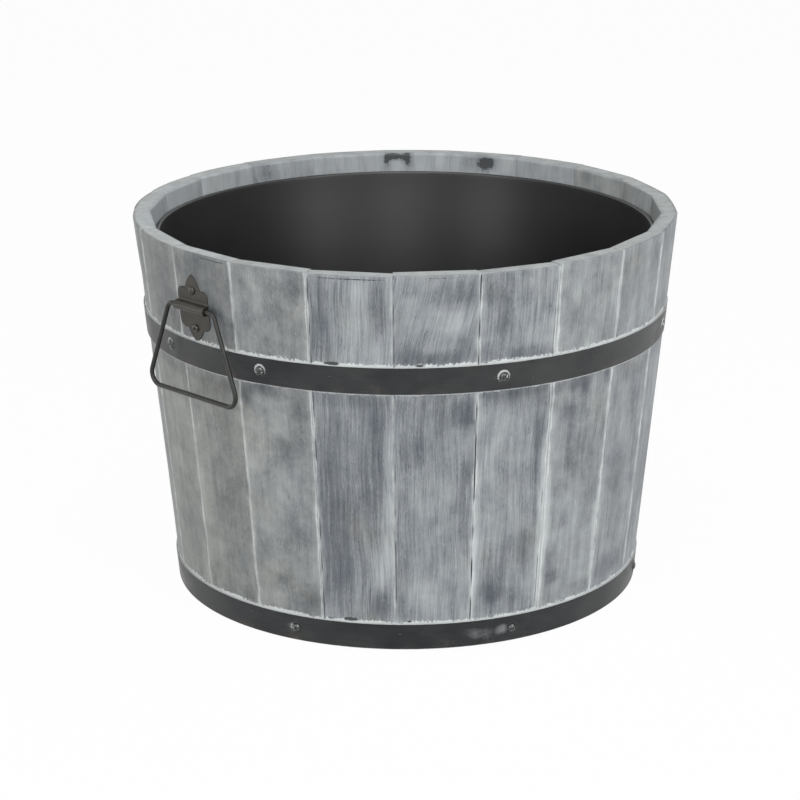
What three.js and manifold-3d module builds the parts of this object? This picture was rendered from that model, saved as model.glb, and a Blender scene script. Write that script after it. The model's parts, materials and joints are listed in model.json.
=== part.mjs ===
// A half-barrel planter: tapered staves drawn together by two steel hoops, a plank base let into a
// groove round the inside, a lift-out liner, and two drop handles on formed strap plates.
// Millimetres, +Z up, floor at z = 0, handles at -X and +X.
import * as THREE from "three";
import { mergeVertices } from "three/addons/utils/BufferGeometryUtils.js";
import Module from "manifold-3d";

const wasm = await Module();
wasm.setup();

// ---------------------------------------------------------------- driving dimensions
const seat = 0.3; // clearance kept between pieces that rest on each other
const roundSides = 10; // facets round a screw, rivet, dimple or hole

const staveCount = 21;
const barrelHeight = 334; // at the low side of the rim
const rimRise = 3.2; // how much higher the rim is at the other side, because it was sawn out of level
const rimLowSide = -40; // degrees from the front
const sawnShort = new Map([
  [-4, 0.4],
  [-3, 1],
  [-1, 0.7],
]); // staves, counted from the front, that stop short of their neighbours
const rimRadius = 240; // to the outer corners of the staves
const baseRadius = 208.5;
const staveThickness = 14.5;
const jointChamfer = 1.6; // V-joint between neighbours, on the outside
const innerChamfer = 0.4;
const endRounding = 1.2; // eased edges of the stave ends

const grooveFloor = 28; // croze groove that holds the base
const grooveDepth = 4;
const boardCount = 5;
const boardThickness = 12;
const drainGap = 4; // left open between base boards

const hoopWidth = 24;
const hoopThickness = 1;
const hoopSides = 3 * staveCount; // facets round a hoop, which is bent to a true round
const lowerHoopMiddle = 12.6;
const upperHoopMiddle = 244.5;
const lapLength = 44; // riveted overlap, at the back
const lapStave = 10;
const rivetSpacing = 22;
const rivetRadius = 2.2;
const rivetHeadRadius = 4.6;
const rivetHeadHeight = 2;

const screwHeadRadius = 3.4;
const screwHeadHeight = 2.1;
const screwRadius = 1.7;
const screwGrip = 11; // depth in the wood
const boreClearance = 0.35;
const dimpleRadius = 5; // raised lip pressed round each hoop screw
const dimpleWall = 1.1;
const dimpleHeight = 0.7;
const upperHoopScrews = [-99.3, -71.5, -20, 34.2, 71.5, 99.3, 152, -152]; // degrees from the front
const lowerHoopScrews = [-67, -15, 37, 89, 141, -167, -133];

const linerLipHeight = 320.5;
const linerLipRadius = 220.4;
const linerWall = 2.2;
const linerFootRadius = 184;
const linerFootCorner = 14;
const linerLip = 3.4; // height and reach of the lip bead

const handleStave = 5; // counted from the front, each way
const handleShift = 13; // from the middle of the stave, away from the front
const pivotHeight = 287;
const pivotLift = 5; // wire centre, out from the stave
const plateThickness = 1.5;
const plateHalfWidth = 18.9;
const upperLeaf = { tip: 28, lobe: 15.6, lobeRadius: 6.5, screw: 14.2 };
const lowerLeaf = { tip: 31, lobe: 20, lobeRadius: 8.8, screw: 18.8 };
const wireRadius = 2;
const knuckleClearance = 0.4;
const bail = { topHalf: 28.5, bottomHalf: 59, drop: 76.5, topBend: 7, bottomBend: 10 };

// ---------------------------------------------------------------- worked out from them
const staveAngle = (2 * Math.PI) / staveCount;
const halfAngle = staveAngle / 2;
const rimFlat = rimRadius * Math.cos(halfAngle);
const baseFlat = baseRadius * Math.cos(halfAngle);
const faceLean = Math.atan2(rimFlat - baseFlat, barrelHeight);
const hoopAtFoot = hoopInnerAt(0);
const hoopLean = Math.atan2(hoopInnerAt(barrelHeight) - hoopAtFoot, barrelHeight);
const boardTop = grooveFloor + seat + boardThickness;

/** A finish whose flats and bends shade as separate faces. */
function finish(look) {
  return new THREE.MeshStandardMaterial({ flatShading: true, ...look });
}

const paintedWood = finish({ color: 0x999da0, roughness: 0.75 });
const bareWood = finish({ color: 0x8d8a83, roughness: 0.85 });
const hoopSteel = finish({ color: 0x3b3d3f, roughness: 0.45, metalness: 0.6 });
const linerPlastic = finish({ color: 0x2c2e30, roughness: 0.5 });
const handleIron = finish({ color: 0x37332e, roughness: 0.5, metalness: 0.6 });
const screwSteel = finish({ color: 0x5d5e5d, roughness: 0.45, metalness: 0.7 });

/** Distance from the barrel's axis to the flat outer faces at a height. */
function flatAt(height) {
  return baseFlat + ((rimFlat - baseFlat) * height) / barrelHeight;
}

/** Height of a stave's top. */
function staveTop(index) {
  const round = index * staveAngle - THREE.MathUtils.degToRad(rimLowSide);
  return barrelHeight + (rimRise * (1 - Math.cos(round))) / 2 - (sawnShort.get(index) ?? 0);
}

/** Inner radius of a round hoop at a height, which bears on the eased corners of the staves. */
function hoopInnerAt(height) {
  const flat = flatAt(height);
  return Math.hypot(flat, flat * Math.tan(halfAngle) - jointChamfer) + seat;
}

// ---------------------------------------------------------------- solids and surfaces
function solidOf(geometry) {
  const bare = geometry.clone();
  bare.deleteAttribute("normal");
  bare.deleteAttribute("uv");
  const welded = mergeVertices(bare, 1e-4);
  return new wasm.Manifold(
    new wasm.Mesh({
      numProp: 3,
      vertProperties: welded.attributes.position.array,
      triVerts: new Uint32Array(welded.index.array),
    }),
  );
}

function geometryOf(solid) {
  const mesh = solid.getMesh();
  const geometry = new THREE.BufferGeometry();
  geometry.setAttribute("position", new THREE.BufferAttribute(mesh.vertProperties, 3));
  geometry.setIndex(new THREE.BufferAttribute(mesh.triVerts, 1));
  geometry.computeVertexNormals();
  return geometry;
}

function cut(geometry, tools) {
  return geometryOf(tools.reduce((solid, tool) => solid.subtract(solidOf(tool)), solidOf(geometry)));
}

function join(geometry, additions) {
  return geometryOf(additions.reduce((solid, more) => solid.add(solidOf(more)), solidOf(geometry)));
}

/** Skins a run of sections, each a ring of points; closed runs meet themselves, open ones are capped. */
function skin(sections, closed) {
  const count = sections[0].length;
  const points = sections.flat();
  const faces = [];
  const spans = closed ? sections.length : sections.length - 1;
  for (let s = 0; s < spans; s++) {
    const here = s * count;
    const next = ((s + 1) % sections.length) * count;
    for (let i = 0; i < count; i++) {
      const j = (i + 1) % count;
      faces.push(here + i, here + j, next + j);
      faces.push(here + i, next + j, next + i);
    }
  }
  if (!closed) {
    const last = (sections.length - 1) * count;
    for (let i = 1; i < count - 1; i++) {
      faces.push(0, i + 1, i);
      faces.push(last, last + i, last + i + 1);
    }
  }
  const geometry = new THREE.BufferGeometry().setFromPoints(points);
  geometry.setIndex(faces);
  geometry.computeVertexNormals();
  return geometry;
}

/** A turned shape about the Z axis, from points of (radius, height). */
function turned(points, segments) {
  return new THREE.LatheGeometry(points, segments).rotateX(Math.PI / 2);
}

/** A prism with as many sides as the barrel has staves, its flats facing the staves. */
function staveSidedPrism(flat, low, high) {
  const radius = flat / Math.cos(halfAngle);
  const prism = new THREE.CylinderGeometry(radius, radius, high - low, staveCount, 1, false, halfAngle);
  return prism.rotateX(Math.PI / 2).translate(0, 0, (low + high) / 2);
}

// ---------------------------------------------------------------- places on the barrel
/** Frame on a stave's outer face: x across, y up the face, z out of it; the stave faces -Y. */
function faceFrame(across, height, lift = 0) {
  const frame = new THREE.Object3D();
  frame.position.set(across, -flatAt(height), height);
  frame.rotation.x = Math.PI / 2 + faceLean;
  frame.translateZ(lift);
  frame.updateMatrix();
  return frame.matrix;
}

/** Frame on the inside of a hoop at a bearing round the barrel: z out of the hoop, square to it. */
function hoopFrame(angle, height, lift = 0) {
  const frame = new THREE.Object3D();
  frame.position.set(0, -hoopInnerAt(height), height);
  frame.rotation.x = Math.PI / 2 + hoopLean;
  frame.translateZ(lift);
  frame.updateMatrix();
  return new THREE.Matrix4().makeRotationZ(angle).multiply(frame.matrix);
}

/** A screw through a hoop, from its bearing, with the stave that takes it. */
function hoopSpot(degrees, height) {
  const angle = THREE.MathUtils.degToRad(degrees);
  const stave = Math.round(angle / staveAngle);
  return { stave, angle, height, frame: hoopFrame(angle - stave * staveAngle, height) };
}

const barrel = new THREE.Group();
barrel.name = "barrel_planter";

function add(name, geometry, material, stave = 0, matrix = new THREE.Matrix4()) {
  const mesh = new THREE.Mesh(geometry, material);
  mesh.name = name;
  mesh.applyMatrix4(matrix);
  const turn = new THREE.Group();
  turn.rotation.z = stave * staveAngle;
  turn.add(mesh);
  barrel.add(turn);
}

// ---------------------------------------------------------------- screws and rivets
function domedHead(radius, height) {
  const sphere = (radius * radius + height * height) / (2 * height);
  const start = Math.asin(radius / sphere);
  const steps = 3;
  return Array.from({ length: steps + 1 }, (_, i) => {
    const angle = start * (1 - i / steps);
    return new THREE.Vector2(sphere * Math.sin(angle), height - sphere * (1 - Math.cos(angle)));
  });
}

/** A cross-recess screw along Z, the underside of its head at z = 0. */
function screw(shankLength) {
  const rim = 0.5;
  const recess = 0.9;
  const recessLength = 3.8;
  const profile = [
    new THREE.Vector2(0, -shankLength),
    new THREE.Vector2(screwRadius, -shankLength + 2 * screwRadius),
    new THREE.Vector2(screwRadius, 0),
    new THREE.Vector2(screwHeadRadius, 0),
    ...domedHead(screwHeadRadius, screwHeadHeight - rim).map((p) => new THREE.Vector2(p.x, p.y + rim)),
  ];
  profile.at(-1).x = 0;
  const slots = [0, Math.PI / 2].map((angle) =>
    new THREE.BoxGeometry(recessLength, recess, 2 * recess)
      .rotateZ(angle)
      .translate(0, 0, screwHeadHeight),
  );
  return cut(turned(profile, roundSides), slots);
}

function rivet() {
  const profile = [
    new THREE.Vector2(0, -2 * hoopThickness - seat),
    new THREE.Vector2(rivetRadius, -2 * hoopThickness - seat),
    new THREE.Vector2(rivetRadius, 0),
    ...domedHead(rivetHeadRadius, rivetHeadHeight),
  ];
  profile.at(-1).x = 0;
  return turned(profile, roundSides);
}

/** A round tool that leaves a hole of a radius through or into a face, centred on the face frame. */
function drill(radius, from, to) {
  return new THREE.CylinderGeometry(radius, radius, to - from, roundSides)
    .rotateX(Math.PI / 2)
    .translate(0, 0, (from + to) / 2);
}

// ---------------------------------------------------------------- staves
/** Outline of a stave at a height: flat outside and inside, radial sides, with eased corners. */
function staveOutline(height, inset) {
  const outer = flatAt(height) - inset;
  const inner = flatAt(height) - staveThickness + inset;
  const side = (distance) => distance * Math.tan(halfAngle) - seat / 2 / Math.cos(halfAngle);
  const right = [
    [side(outer) - jointChamfer, outer],
    [side(outer - jointChamfer), outer - jointChamfer],
    [side(inner + innerChamfer), inner + innerChamfer],
    [side(inner) - innerChamfer, inner],
  ];
  const left = right.map(([x, y]) => [-x, y]).reverse();
  return [...right, ...left].map(([x, y]) => new THREE.Vector3(x, -y, height));
}

const grooveTool = staveSidedPrism(
  flatAt(grooveFloor) - staveThickness + grooveDepth,
  grooveFloor,
  boardTop + seat,
);

function stave(top, bores) {
  const blank = skin(
    [
      staveOutline(0, endRounding),
      staveOutline(endRounding, 0),
      staveOutline(top - endRounding, 0),
      staveOutline(top, endRounding),
    ],
    false,
  );
  const holes = bores.map(({ frame }) =>
    drill(screwRadius + boreClearance, -screwGrip - 1, 1).applyMatrix4(frame),
  );
  return cut(blank, [grooveTool, ...holes]);
}

const upperSpots = upperHoopScrews.map((degrees) => hoopSpot(degrees, upperHoopMiddle));
const lowerSpots = lowerHoopScrews.map((degrees) => hoopSpot(degrees, lowerHoopMiddle));
const handles = [
  { side: "left", stave: -handleStave, across: -handleShift },
  { side: "right", stave: handleStave, across: handleShift },
];
const plateSpots = handles.flatMap(({ stave, across }) =>
  [upperLeaf.screw, -lowerLeaf.screw].map((up) => ({
    stave,
    frame: faceFrame(across, pivotHeight + up * Math.cos(faceLean)),
  })),
);

const middleStave = (staveCount - 1) / 2;
for (let index = -middleStave; index <= middleStave; index++) {
  const bores = [...upperSpots, ...lowerSpots, ...plateSpots].filter((spot) => spot.stave === index);
  const number = String(index + middleStave + 1).padStart(2, "0");
  add(`stave_${number}`, stave(staveTop(index), bores), paintedWood, index);
}

// ---------------------------------------------------------------- base boards
const headFlat = flatAt(grooveFloor) - staveThickness + grooveDepth - seat;
const boardWidth = (2 * headFlat - (boardCount - 1) * drainGap) / boardCount;
const head = solidOf(staveSidedPrism(headFlat, grooveFloor + seat, boardTop));
for (let index = 0; index < boardCount; index++) {
  const middle = (index - (boardCount - 1) / 2) * (boardWidth + drainGap);
  const plank = new THREE.BoxGeometry(boardWidth, 3 * rimRadius, 3 * boardThickness);
  plank.translate(middle, 0, grooveFloor + boardThickness / 2);
  add(`base_board_${index + 1}`, geometryOf(head.intersect(solidOf(plank))), bareWood);
}

// ---------------------------------------------------------------- hoops
/** One section of a strap, between two heights and two lifts from the hoop's inside. */
function strapSection(angle, low, high, under, over) {
  return [
    [low, under],
    [high, under],
    [high, over],
    [low, over],
  ].map(([height, lift]) => {
    const radius = (hoopInnerAt(height) + lift) / Math.cos(Math.PI / hoopSides);
    return new THREE.Vector3(radius * Math.sin(angle), -radius * Math.cos(angle), height);
  });
}

function strap(low, high) {
  const sections = Array.from({ length: hoopSides }, (_, index) =>
    strapSection(halfAngle + (2 * Math.PI * index) / hoopSides, low, high, 0, hoopThickness),
  );
  return skin(sections, true);
}

/** The overlapped end of the strap, one thickness further out. */
function lap(low, high) {
  const middle = lapStave * staveAngle;
  const reach = lapLength / 2 / hoopInnerAt(low);
  const sections = [-1, -0.5, 0, 0.5, 1].map((share) =>
    strapSection(middle + share * reach, low, high, hoopThickness - seat, 2 * hoopThickness),
  );
  return skin(sections, false);
}

/** Raised lip round a screw, in the frame of the hoop's inside. */
function dimple() {
  const inner = dimpleRadius - dimpleWall;
  const low = hoopThickness / 2;
  const high = hoopThickness + dimpleHeight;
  return turned(
    [
      new THREE.Vector2(inner, low),
      new THREE.Vector2(dimpleRadius, low),
      new THREE.Vector2(dimpleRadius, hoopThickness),
      new THREE.Vector2(dimpleRadius - 0.3 * dimpleWall, high),
      new THREE.Vector2(inner + 0.2 * dimpleWall, high),
      new THREE.Vector2(inner, low),
    ],
    roundSides,
  );
}

for (const { name, middle, spots } of [
  { name: "upper_hoop", middle: upperHoopMiddle, spots: upperSpots },
  { name: "lower_hoop", middle: lowerHoopMiddle, spots: lowerSpots },
]) {
  const low = middle - hoopWidth / 2;
  const high = middle + hoopWidth / 2;
  const lips = spots.map(({ angle, height }) => dimple().applyMatrix4(hoopFrame(angle, height)));
  const screwHoles = spots.map(({ angle, height }) =>
    drill(screwRadius + boreClearance, -1, hoopThickness + 1).applyMatrix4(hoopFrame(angle, height)),
  );
  const rivetAngles = [-0.5, 0.5].map(
    (share) => lapStave * staveAngle + (share * rivetSpacing) / hoopInnerAt(middle),
  );
  const rivetHoles = rivetAngles.map((angle) =>
    drill(rivetRadius + seat, -1, 3 * hoopThickness).applyMatrix4(hoopFrame(angle, middle)),
  );
  const closed = join(strap(low, high), [lap(low, high), ...lips]);
  add(name, cut(closed, [...screwHoles, ...rivetHoles]), hoopSteel);
  rivetAngles.forEach((angle, index) => {
    const frame = hoopFrame(angle, middle, 2 * hoopThickness + seat);
    add(`${name}_rivet_${index + 1}`, rivet(), hoopSteel, 0, frame);
  });
  spots.forEach(({ angle, height }, index) => {
    const frame = hoopFrame(angle, height, hoopThickness + seat);
    add(`${name}_screw_${index + 1}`, screw(hoopThickness + screwGrip), screwSteel, 0, frame);
  });
}

// ---------------------------------------------------------------- liner
const linerFoot = boardTop + seat;
const lipUnderside = linerLipHeight - linerLip;
const wallTopRadius = linerLipRadius - linerLip + linerWall;
const linerProfile = new THREE.Path();
linerProfile.moveTo(0, linerFoot);
linerProfile.lineTo(linerFootRadius - linerFootCorner, linerFoot);
linerProfile.quadraticCurveTo(linerFootRadius, linerFoot, linerFootRadius + 1, linerFoot + linerFootCorner);
linerProfile.lineTo(wallTopRadius, lipUnderside);
linerProfile.lineTo(linerLipRadius, lipUnderside);
linerProfile.lineTo(linerLipRadius, linerLipHeight - 1);
linerProfile.lineTo(linerLipRadius - 1, linerLipHeight);
linerProfile.lineTo(wallTopRadius - linerWall + 1, linerLipHeight);
linerProfile.lineTo(wallTopRadius - linerWall, linerLipHeight - 1);
linerProfile.lineTo(linerFootRadius + 1 - linerWall, linerFoot + linerFootCorner);
linerProfile.quadraticCurveTo(
  linerFootRadius - linerWall,
  linerFoot + linerWall,
  linerFootRadius - linerFootCorner,
  linerFoot + linerWall,
);
linerProfile.lineTo(0, linerFoot + linerWall);
add("liner", turned(linerProfile.getPoints(3), 3 * staveCount), linerPlastic);

// ---------------------------------------------------------------- drop handles
/** Outline of a strap plate: two leaves, each with a pointed tip between two round lobes. */
function plateOutline() {
  const notch = plateHalfWidth / 2;
  const outline = new THREE.Shape();
  const quarter = (leaf, up, side, outward) => {
    const lobeMiddle = side * (plateHalfWidth - leaf.lobeRadius);
    const corner = [side * plateHalfWidth, up * leaf.lobe];
    const low = [side * plateHalfWidth, up * (leaf.lobe - leaf.lobeRadius)];
    const high = [lobeMiddle, up * leaf.lobe];
    const cleft = [side * notch, up * (leaf.lobe - 0.6)];
    const tip = [0, up * leaf.tip];
    const swell = [side * 7.6, up * (0.6 * leaf.lobe + 0.4 * leaf.tip)];
    const point = [side * 3, up * (leaf.tip - 0.6)];
    if (outward) {
      outline.bezierCurveTo(...point, ...swell, ...cleft);
      outline.lineTo(...high);
      outline.quadraticCurveTo(...corner, ...low);
    } else {
      outline.lineTo(...low);
      outline.quadraticCurveTo(...corner, ...high);
      outline.lineTo(...cleft);
      outline.bezierCurveTo(...swell, ...point, ...tip);
    }
  };
  outline.moveTo(0, -lowerLeaf.tip);
  quarter(lowerLeaf, -1, 1, true);
  quarter(upperLeaf, 1, 1, false);
  quarter(upperLeaf, 1, -1, true);
  quarter(lowerLeaf, -1, -1, false);
  return outline;
}

/** The strap plate, formed out over the wire in one knuckle, in the frame of the face under it. */
function handlePlate() {
  const bore = wireRadius + knuckleClearance;
  const back = bore + plateThickness;
  const top = seat + plateThickness;
  const sheet = new THREE.ExtrudeGeometry(plateOutline(), {
    depth: plateThickness,
    bevelEnabled: false,
    curveSegments: 5,
  }).translate(0, 0, seat);
  const profile = new THREE.Shape();
  profile.moveTo(back + 1.6, seat);
  profile.lineTo(back + 1.6, top);
  profile.quadraticCurveTo(back, top, back, top + 1.6);
  profile.lineTo(back, pivotLift);
  profile.absarc(0, pivotLift, back, 0, Math.PI);
  profile.lineTo(-back, top + 1.6);
  profile.quadraticCurveTo(-back, top, -back - 1.6, top);
  profile.lineTo(-back - 1.6, seat);
  const knuckle = new THREE.ExtrudeGeometry(profile, {
    depth: 2 * plateHalfWidth,
    bevelEnabled: false,
    curveSegments: 8,
  });
  const throat = new THREE.BoxGeometry(3 * plateHalfWidth, 2 * bore, pivotLift);
  throat.translate(0, 0, pivotLift / 2);
  const eye = new THREE.CylinderGeometry(bore, bore, 3 * plateHalfWidth, 20).rotateZ(Math.PI / 2);
  eye.translate(0, 0, pivotLift);
  const screwHoles = [upperLeaf.screw, -lowerLeaf.screw].map((up) =>
    drill(screwRadius + boreClearance, -1, top + 1).translate(0, up, 0),
  );
  // The knuckle's profile is drawn along y and out of the face, and runs across the plate.
  const across = new THREE.Matrix4().makeBasis(
    new THREE.Vector3(0, 1, 0),
    new THREE.Vector3(0, 0, 1),
    new THREE.Vector3(1, 0, 0),
  );
  knuckle.applyMatrix4(across).translate(-plateHalfWidth, 0, 0);
  return cut(join(sheet, [knuckle]), [throat, eye, ...screwHoles]);
}

/** Centre line of the bail in x and z, hung from its pivot, its corners bent to an arc. */
function bailLine() {
  const corners = [
    { at: new THREE.Vector2(-bail.topHalf, 0), bend: bail.topBend },
    { at: new THREE.Vector2(-bail.bottomHalf, -bail.drop), bend: bail.bottomBend },
    { at: new THREE.Vector2(bail.bottomHalf, -bail.drop), bend: bail.bottomBend },
    { at: new THREE.Vector2(bail.topHalf, 0), bend: bail.topBend },
  ];
  const steps = 6;
  return corners.flatMap(({ at, bend }, index) => {
    const before = corners.at(index - 1).at.clone().sub(at).normalize();
    const after = corners[(index + 1) % corners.length].at.clone().sub(at).normalize();
    const half = before.angleTo(after) / 2;
    const centre = before.clone().add(after).setLength(bend / Math.sin(half)).add(at);
    const start = before.clone().multiplyScalar(bend / Math.tan(half)).add(at).sub(centre);
    const sweep = Math.PI - 2 * half;
    return Array.from({ length: steps + 1 }, (_, i) =>
      start.clone().rotateAround(new THREE.Vector2(), (sweep * i) / steps).add(centre),
    );
  });
}

function bailWire() {
  const line = bailLine();
  const sides = 8;
  const sections = line.map((point, index) => {
    const before = point.clone().sub(line.at(index - 1)).normalize();
    const after = line[(index + 1) % line.length].clone().sub(point).normalize();
    const along = before.clone().add(after).normalize();
    const mitre = 1 / along.dot(after);
    return Array.from({ length: sides }, (_, i) => {
      const angle = (2 * Math.PI * i) / sides;
      const sideways = wireRadius * mitre * Math.cos(angle);
      return new THREE.Vector3(
        point.x - along.y * sideways,
        -wireRadius * Math.sin(angle),
        point.y + along.x * sideways,
      );
    });
  });
  return skin(sections, true);
}

for (const { side, stave, across } of handles) {
  add(`${side}_handle_plate`, handlePlate(), handleIron, stave, faceFrame(across, pivotHeight));
  const pivot = new THREE.Vector3().setFromMatrixPosition(faceFrame(across, pivotHeight, pivotLift));
  const hung = new THREE.Matrix4().makeTranslation(pivot.x, pivot.y, pivot.z);
  add(`${side}_bail`, bailWire(), handleIron, stave, hung);
  for (const [place, up] of [
    ["upper", upperLeaf.screw],
    ["lower", -lowerLeaf.screw],
  ]) {
    const height = pivotHeight + up * Math.cos(faceLean);
    const frame = faceFrame(across, height, 2 * seat + plateThickness);
    add(`${side}_plate_${place}_screw`, screw(plateThickness + screwGrip), screwSteel, stave, frame);
  }
}

export default barrel;
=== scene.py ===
"""Looks of a half-barrel planter, built round its packed construction.

Limed staves drawn together by two graphite hoops, a plank base, a lift-out charcoal liner and two
bronze-brown drop handles, on a pale studio floor. Metres, +Z up, handles at -X and +X.
"""
import json
import logging
import math
from collections.abc import Callable, Sequence
from dataclasses import dataclass, field
from enum import Enum
from functools import partial

import bmesh
import bpy
import numpy as np
from mathutils import Matrix, Vector

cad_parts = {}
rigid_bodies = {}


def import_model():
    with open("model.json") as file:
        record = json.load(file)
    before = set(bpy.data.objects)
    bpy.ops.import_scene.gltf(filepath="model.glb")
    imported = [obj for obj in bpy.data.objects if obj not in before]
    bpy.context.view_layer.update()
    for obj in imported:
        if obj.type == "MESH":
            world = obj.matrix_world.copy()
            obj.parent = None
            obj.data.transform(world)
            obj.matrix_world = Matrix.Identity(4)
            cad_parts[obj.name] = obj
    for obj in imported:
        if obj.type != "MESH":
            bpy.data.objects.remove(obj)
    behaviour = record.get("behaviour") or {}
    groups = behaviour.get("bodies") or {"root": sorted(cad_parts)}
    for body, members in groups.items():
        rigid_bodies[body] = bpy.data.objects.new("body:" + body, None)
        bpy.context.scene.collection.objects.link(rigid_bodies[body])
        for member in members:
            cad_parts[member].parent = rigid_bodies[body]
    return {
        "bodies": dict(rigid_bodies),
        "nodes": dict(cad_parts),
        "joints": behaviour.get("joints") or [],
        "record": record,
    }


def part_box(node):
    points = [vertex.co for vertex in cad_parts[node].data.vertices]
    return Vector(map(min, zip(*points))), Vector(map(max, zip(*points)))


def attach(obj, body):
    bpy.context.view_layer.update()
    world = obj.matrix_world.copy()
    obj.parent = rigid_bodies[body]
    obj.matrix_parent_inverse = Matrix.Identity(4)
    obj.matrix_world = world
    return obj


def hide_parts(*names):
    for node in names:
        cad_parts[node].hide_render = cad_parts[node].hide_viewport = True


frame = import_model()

log = logging.getLogger("planter")

MM = 0.001


class Body(Enum):
    """The moving bodies that pieces ride on."""

    BARREL = "barrel"
    LINER = "liner"
    LEFT_BAIL = "left_bail"
    RIGHT_BAIL = "right_bail"


class Slot(Enum):
    """The record's material slots."""

    PAINTED_WOOD = "painted_wood"
    BASE_WOOD = "base_wood"
    HOOP_STEEL = "hoop_steel"
    SCREW_STEEL = "screw_steel"
    HANDLE_IRON = "handle_iron"
    LINER_PLASTIC = "liner_plastic"


class Face(Enum):
    """The sides of a stave, by how they are painted."""

    OUTER = "outer"
    INNER = "inner"
    END = "end"


class Side(Enum):
    """The two handles, by the direction in which their staves are counted from the front."""

    LEFT = -1
    RIGHT = 1


# ---------------------------------------------------------------- small helpers
Colour = tuple[float, float, float, float]


def colour(red: int, green: int, blue: int) -> Colour:
    """A shader colour from its values on the 0 to 255 screen scale."""
    shades = [value / 255 for value in (red, green, blue)]
    linear = [s / 12.92 if s <= 0.04045 else ((s + 0.055) / 1.055) ** 2.4 for s in shades]
    return (linear[0], linear[1], linear[2], 1.0)


def smooth(value: np.ndarray, low: float, high: float) -> np.ndarray:
    """Smooth step from 0 at low to 1 at high; low may be the larger."""
    t = np.clip((value - low) / (high - low), 0, 1)
    return t * t * (3 - 2 * t)


def ripple(where: np.ndarray, lengths: Sequence[float], seed: int) -> np.ndarray:
    """Smooth irregular waves between about -1 and 1.

    Args:
        where: Places along one direction, in metres.
        lengths: Wavelengths of the waves that are added up.
        seed: Number that fixes their phases.

    Returns:
        The waves' mean at each place.
    """
    chance = np.random.default_rng(seed)
    total = np.zeros_like(where, dtype=float)
    for length in lengths:
        stretched = length * chance.uniform(0.8, 1.25)
        total += np.sin(where * math.tau / stretched + chance.uniform(0, math.tau))
    return total / math.sqrt(len(lengths))


# ---------------------------------------------------------------- mesh making
def creased(mesh: bpy.types.Mesh, degrees: float) -> bpy.types.Mesh:
    """The mesh, shaded smooth but for its bends over some degrees."""
    mesh.shade_smooth()
    mesh.set_sharp_from_angle(angle=math.radians(degrees))
    return mesh


def quadratic(start: np.ndarray, corner: np.ndarray, end: np.ndarray, steps: int) -> np.ndarray:
    """Points along a curve that leaves its start and meets its end towards a corner."""
    t = np.linspace(0, 1, steps)[:, None]
    return (1 - t) ** 2 * start + 2 * t * (1 - t) * corner + t * t * end


def arc(centre: Sequence[float], radius: float, first: float, last: float, steps: int) -> np.ndarray:
    """Points along an arc, from its first to its last angle in radians."""
    turn = np.linspace(first, last, steps)
    return np.asarray(centre) + radius * np.stack([np.cos(turn), np.sin(turn)], -1)


class MeshDraft:
    """A mesh being gathered: its points, faces and the values painted on its points."""

    def __init__(self, *painted: str) -> None:
        """Starts an empty draft whose points all carry the named values."""
        self.points: list[np.ndarray] = []
        self.faces: list[tuple[int, ...]] = []
        self.painted: dict[str, list[np.ndarray]] = {name: [] for name in painted}
        self.count = 0

    def lay(self, points: np.ndarray, **painted: np.ndarray) -> np.ndarray:
        """Adds points of any arrangement.

        Args:
            points: Array that ends in x, y and z.
            **painted: Values on the points, one or three for each.

        Returns:
            The points' numbers, arranged as the points are.
        """
        arrangement = points.shape[:-1]
        total = int(np.prod(arrangement))
        self.points.append(points.reshape(-1, 3))
        for name, parts in self.painted.items():
            values = np.asarray(painted[name], dtype=float)
            wide = values.ndim == len(arrangement) + 1
            parts.append(values.reshape(total, 3) if wide else values.reshape(total))
        self.count += total
        return np.arange(self.count - total, self.count).reshape(arrangement)

    def web(self, grid: np.ndarray, loop_rows: bool = False, loop_columns: bool = False) -> None:
        """Adds four-sided faces between the neighbours in a grid of point numbers."""
        if loop_rows:
            grid = np.concatenate([grid, grid[:1]])
        if loop_columns:
            grid = np.concatenate([grid, grid[:, :1]], axis=1)
        corners = [grid[:-1, :-1], grid[1:, :-1], grid[1:, 1:], grid[:-1, 1:]]
        self.faces.extend(map(tuple, np.stack(corners, -1).reshape(-1, 4).tolist()))

    def cap(self, loop: Sequence[int]) -> None:
        """Closes a loop of points with one face."""
        self.faces.append(tuple(int(number) for number in loop))

    def mesh(self, name: str, crease: float) -> bpy.types.Mesh:
        """Makes the Blender mesh, its faces out and its bends over crease degrees sharp."""
        made = bpy.data.meshes.new(name)
        made.from_pydata(np.concatenate(self.points).tolist(), [], self.faces)
        turned_out = bmesh.new()
        turned_out.from_mesh(made)
        bmesh.ops.recalc_face_normals(turned_out, faces=turned_out.faces)
        turned_out.to_mesh(made)
        turned_out.free()
        for label, parts in self.painted.items():
            values = np.concatenate(parts).astype(np.float32)
            wide = values.ndim == 2
            layer = made.attributes.new(label, "FLOAT_VECTOR" if wide else "FLOAT", "POINT")
            layer.data.foreach_set("vector" if wide else "value", values.ravel())
        return creased(made, crease)


def in_scene(name: str, data: bpy.types.ID) -> bpy.types.Object:
    """A new object in the scene, made from a mesh, a lamp or a camera."""
    thing = bpy.data.objects.new(name, data)
    bpy.context.scene.collection.objects.link(thing)
    return thing


def dress(
    mesh: bpy.types.Mesh, node: str, stuff: str, material: bpy.types.Material, body: Body
) -> None:
    """Puts a finished mesh in the scene in place of its construction node.

    Args:
        mesh: The mesh, in the part's frame.
        node: Name of the node that it stands for.
        stuff: What it is made of, which ends its name.
        material: Its finish.
        body: The body that it rides on.
    """
    mesh.materials.clear()
    mesh.materials.append(material)
    piece = in_scene(f"{node}.{stuff}", mesh)
    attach(piece, body.value)
    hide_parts(node)
    log.info("%s: %d faces", piece.name, len(mesh.polygons))


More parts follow.
